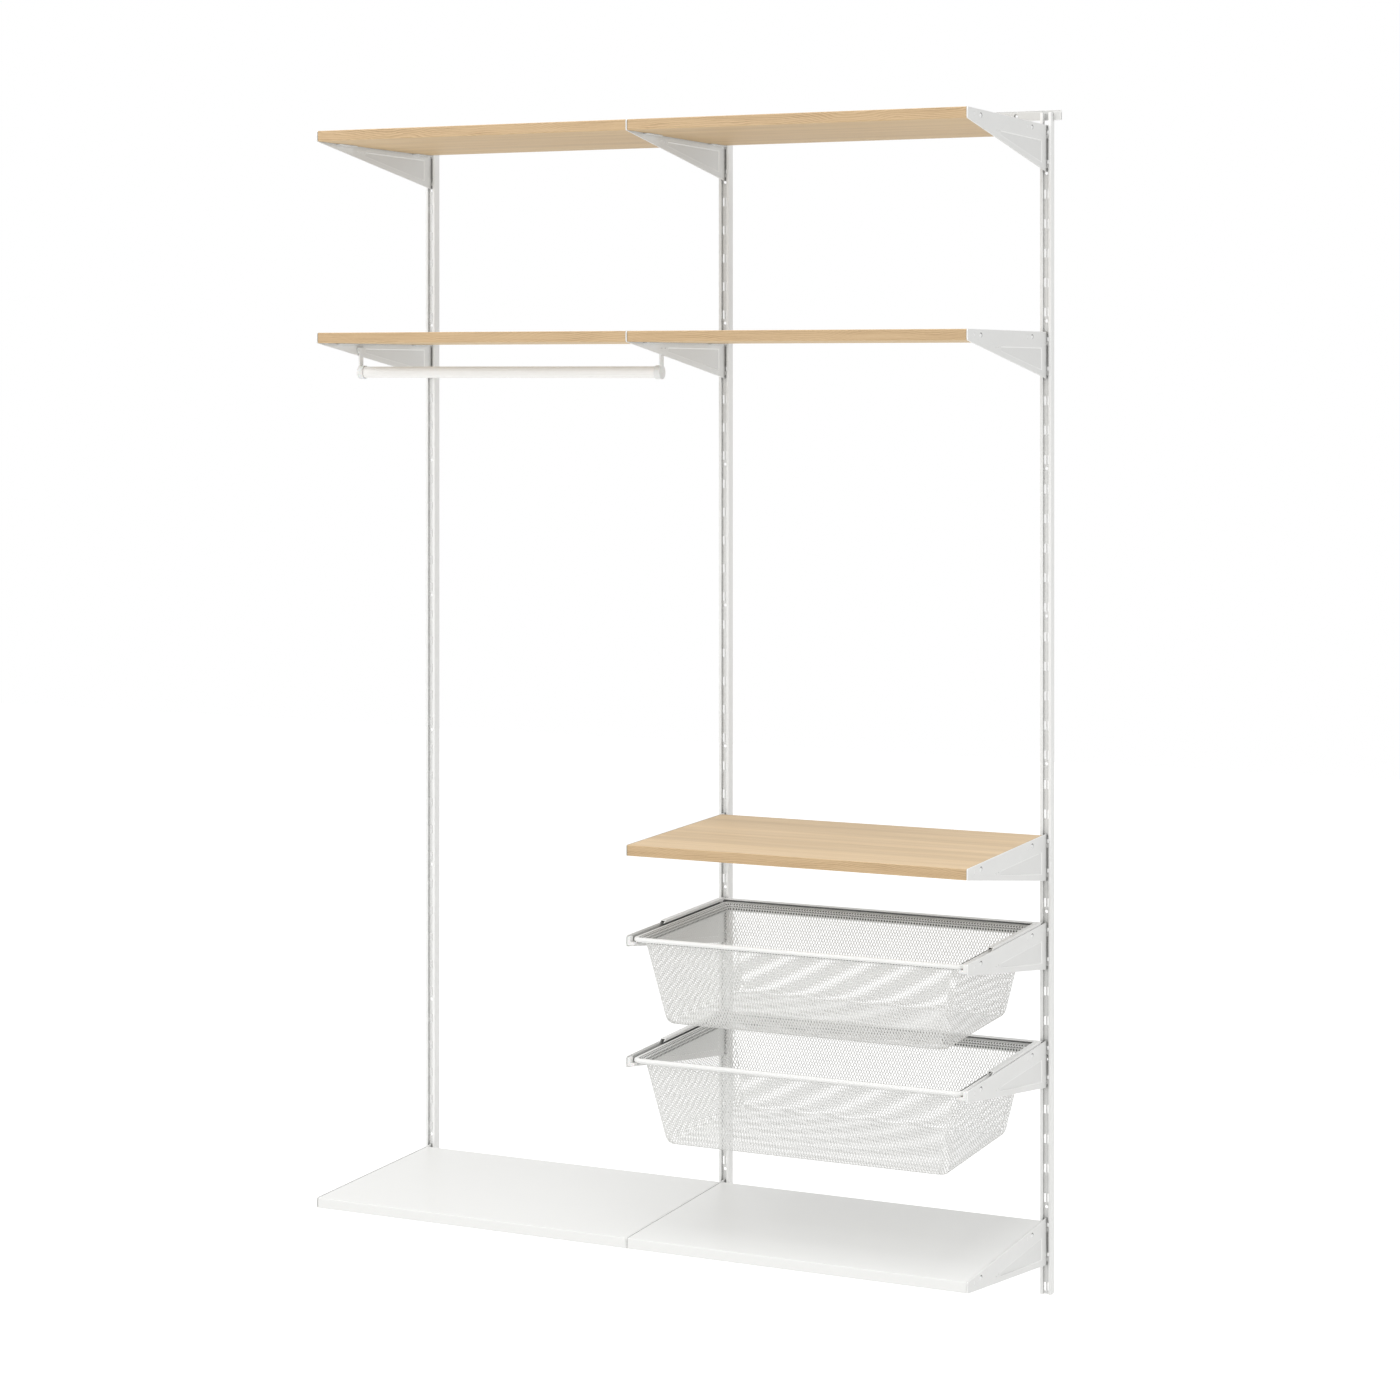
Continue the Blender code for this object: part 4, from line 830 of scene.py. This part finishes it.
def make_pegs(shade):
    """shade is the material of the discs of painted shadow behind the heads."""
    points, faces, shadow_disc_faces = [], [], []
    plate = (-PLATE_HALF, PLATE_HALF)
    lug = [(x, LUG_HALF_LONG * math.sqrt(2), LUG_HALF_HIGH * math.sqrt(2)) for x in plate]  # to its corners
    shaft = [(x, PEG_RADIUS, PEG_RADIUS) for x in plate]
    head = [
        (PLATE_HALF, HEAD_HALF_LONG, HEAD_HALF_HIGH),
        (PLATE_HALF + HEAD_THICK, HEAD_HALF_LONG * HEAD_TAPER, HEAD_HALF_HIGH * HEAD_TAPER),
    ]
    # A disc of painted shadow behind a head
    shadow_disc = [(x, SHADOW_DISC_HALF_LONG, SHADOW_DISC_HALF_HIGH) for x in (PLATE_HALF, PLATE_HALF + SHADOW_DISC_THICK)]
    for name in NODES:
        if not name.startswith("bracket_"):
            continue
        middle = UPRIGHT_PLACES[name.split("_")[-1]]
        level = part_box(name)[1][2] - PEG_UNDER_TOP
        if "basket" not in name:
            peg, shadow_discs = mirrored(head) + shaft + head, [shadow_disc, mirrored(shadow_disc)]
        elif name.endswith("right"):  # the runner's boss fills the hole, so only a cap shows on the free side
            peg, shadow_discs = head, [shadow_disc]
        else:
            peg, shadow_discs = mirrored(head), [mirrored(shadow_disc)]
        for y in PEG_HOLES_Y:
            add_turned(points, faces, (middle, y, level), peg, PEG_SIDES)
        for y in PEG_HOLES_Y:
            for rings in shadow_discs:
                add_turned(points, shadow_disc_faces, (middle, y + SHADOW_DISC_BACK, level + SHADOW_DISC_UP), rings, PEG_SIDES)
        for y in LUG_SLITS_Y:
            add_turned(points, faces, (middle, y, level), lug, 4, math.pi / 4)
    indices = [0] * len(faces) + [1] * len(shadow_disc_faces)
    pegs = mesh_object("shelf_pegs", points, faces + shadow_disc_faces, (peg_plastic(), shade), indices)
    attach(pegs, "wall_frame")


# ---------------------------------------------------------------------------------------------------
# Stage and light
# ---------------------------------------------------------------------------------------------------
FLOOR_HEIGHT, FLOOR_REACH = -0.35, 9.0
FLOOR_GLOW = 0.42  # seen and mirrored only, so that the floor ends in the white behind it
AMBIENT_LEFT, AMBIENT_RIGHT = 0.88, 0.70
# (name, place, what it is aimed at, size, power in watts)
LAMPS = (
    ("Front_left_softbox", (-1.9, -3.6, 3.1), (0, -0.2, 1.0), (2.6, 2.6), 37),
    ("Front_right_softbox", (3.2, -3.8, 1.2), (0, -0.2, 0.9), (2.4, 2.4), 18),
    ("Top_softbox", (0, -1.6, 7.5), (0, -0.2, 1.0), (5.4, 3.8), 172),
)


def make_floor():
    m = Coat("Pale_floor")
    m.colour(m.mottle(m.noise(m.place, 1.2, 3.0, 0.5), FLOOR_SHADES))
    m.shader.inputs["Roughness"].default_value = 0.9
    m.shader.inputs["Specular IOR Level"].default_value = 0.1
    rays, glow, both = m.add("ShaderNodeLightPath"), m.add("ShaderNodeEmission"), m.add("ShaderNodeAddShader")
    seen = m.math("MAXIMUM", rays.outputs["Is Camera Ray"], rays.outputs["Is Glossy Ray"])
    m.join(m.math("MULTIPLY", seen, FLOOR_GLOW), glow.inputs["Strength"])
    m.join(m.shader.outputs[0], both.inputs[0])
    m.join(glow.outputs[0], both.inputs[1])
    m.join(both.outputs[0], m.tree.nodes["Material Output"].inputs["Surface"])
    corners = [(-1, -1), (1, -1), (1, 1), (-1, 1)]
    points = [(x * FLOOR_REACH, y * FLOOR_REACH, FLOOR_HEIGHT) for x, y in corners]
    floor = mesh_object("Floor", points, [(0, 1, 2, 3)], (m.material,), [0])


def make_world():
    """Full white where it is seen. As light it is a little weaker, and weakest on the right."""
    world = bpy.data.worlds.new("White_studio")
    bpy.context.scene.world = world
    world.use_nodes = True
    world.node_tree.nodes.clear()
    w = Tree(world.node_tree)
    rays, mix = w.add("ShaderNodeLightPath"), w.add("ShaderNodeMixShader")
    light, white = w.add("ShaderNodeBackground"), w.add("ShaderNodeBackground")
    for background in (light, white):
        background.inputs["Color"].default_value = (1, 1, 1, 1)
    across = w.axes(w.add("ShaderNodeTexCoord").outputs["Generated"])["X"]
    w.join(w.span(across, AMBIENT_LEFT, AMBIENT_RIGHT, -1.0, 1.0), light.inputs["Strength"])
    white.inputs["Strength"].default_value = 1.0
    seen = w.math("MAXIMUM", rays.outputs["Is Camera Ray"], rays.outputs["Is Transmission Ray"])
    for source, socket in zip((seen, light.outputs[0], white.outputs[0]), mix.inputs):
        w.join(source, socket)
    w.join(mix.outputs[0], w.add("ShaderNodeOutputWorld").inputs["Surface"])


def make_lamp(name, place, aim, size, power):
    data = bpy.data.lights.new(name, "AREA")
    data.shape = "RECTANGLE"
    data.size, data.size_y = size
    data.energy = power
    lamp = bpy.data.objects.new(name, data)
    lamp.location = place
    back = [here - there for here, there in zip(place, aim)]
    level = math.hypot(back[0], back[1])
    lamp.rotation_euler = (math.atan2(level, back[2]), 0, math.atan2(back[0], -back[1]) if level else 0)
    bpy.context.scene.collection.objects.link(lamp)


make_camera()
bpy.context.scene.view_settings.view_transform = "Standard"
strands = expanded_metal_coat("Expanded_metal_coat", STRAND_SHADES)
# The near-black coat of painted shadow, for the fold strips and the discs behind the peg heads
painted_fold_shadow = expanded_metal_coat("Fold_painted_shadow", PAINTED_FOLD_SHADOW)
dress_nodes()
soften_nodes()
make_baskets((strands, painted_fold_shadow))
make_pegs(painted_fold_shadow)
make_floor()
make_world()
for lamp in LAMPS:
    make_lamp(*lamp)
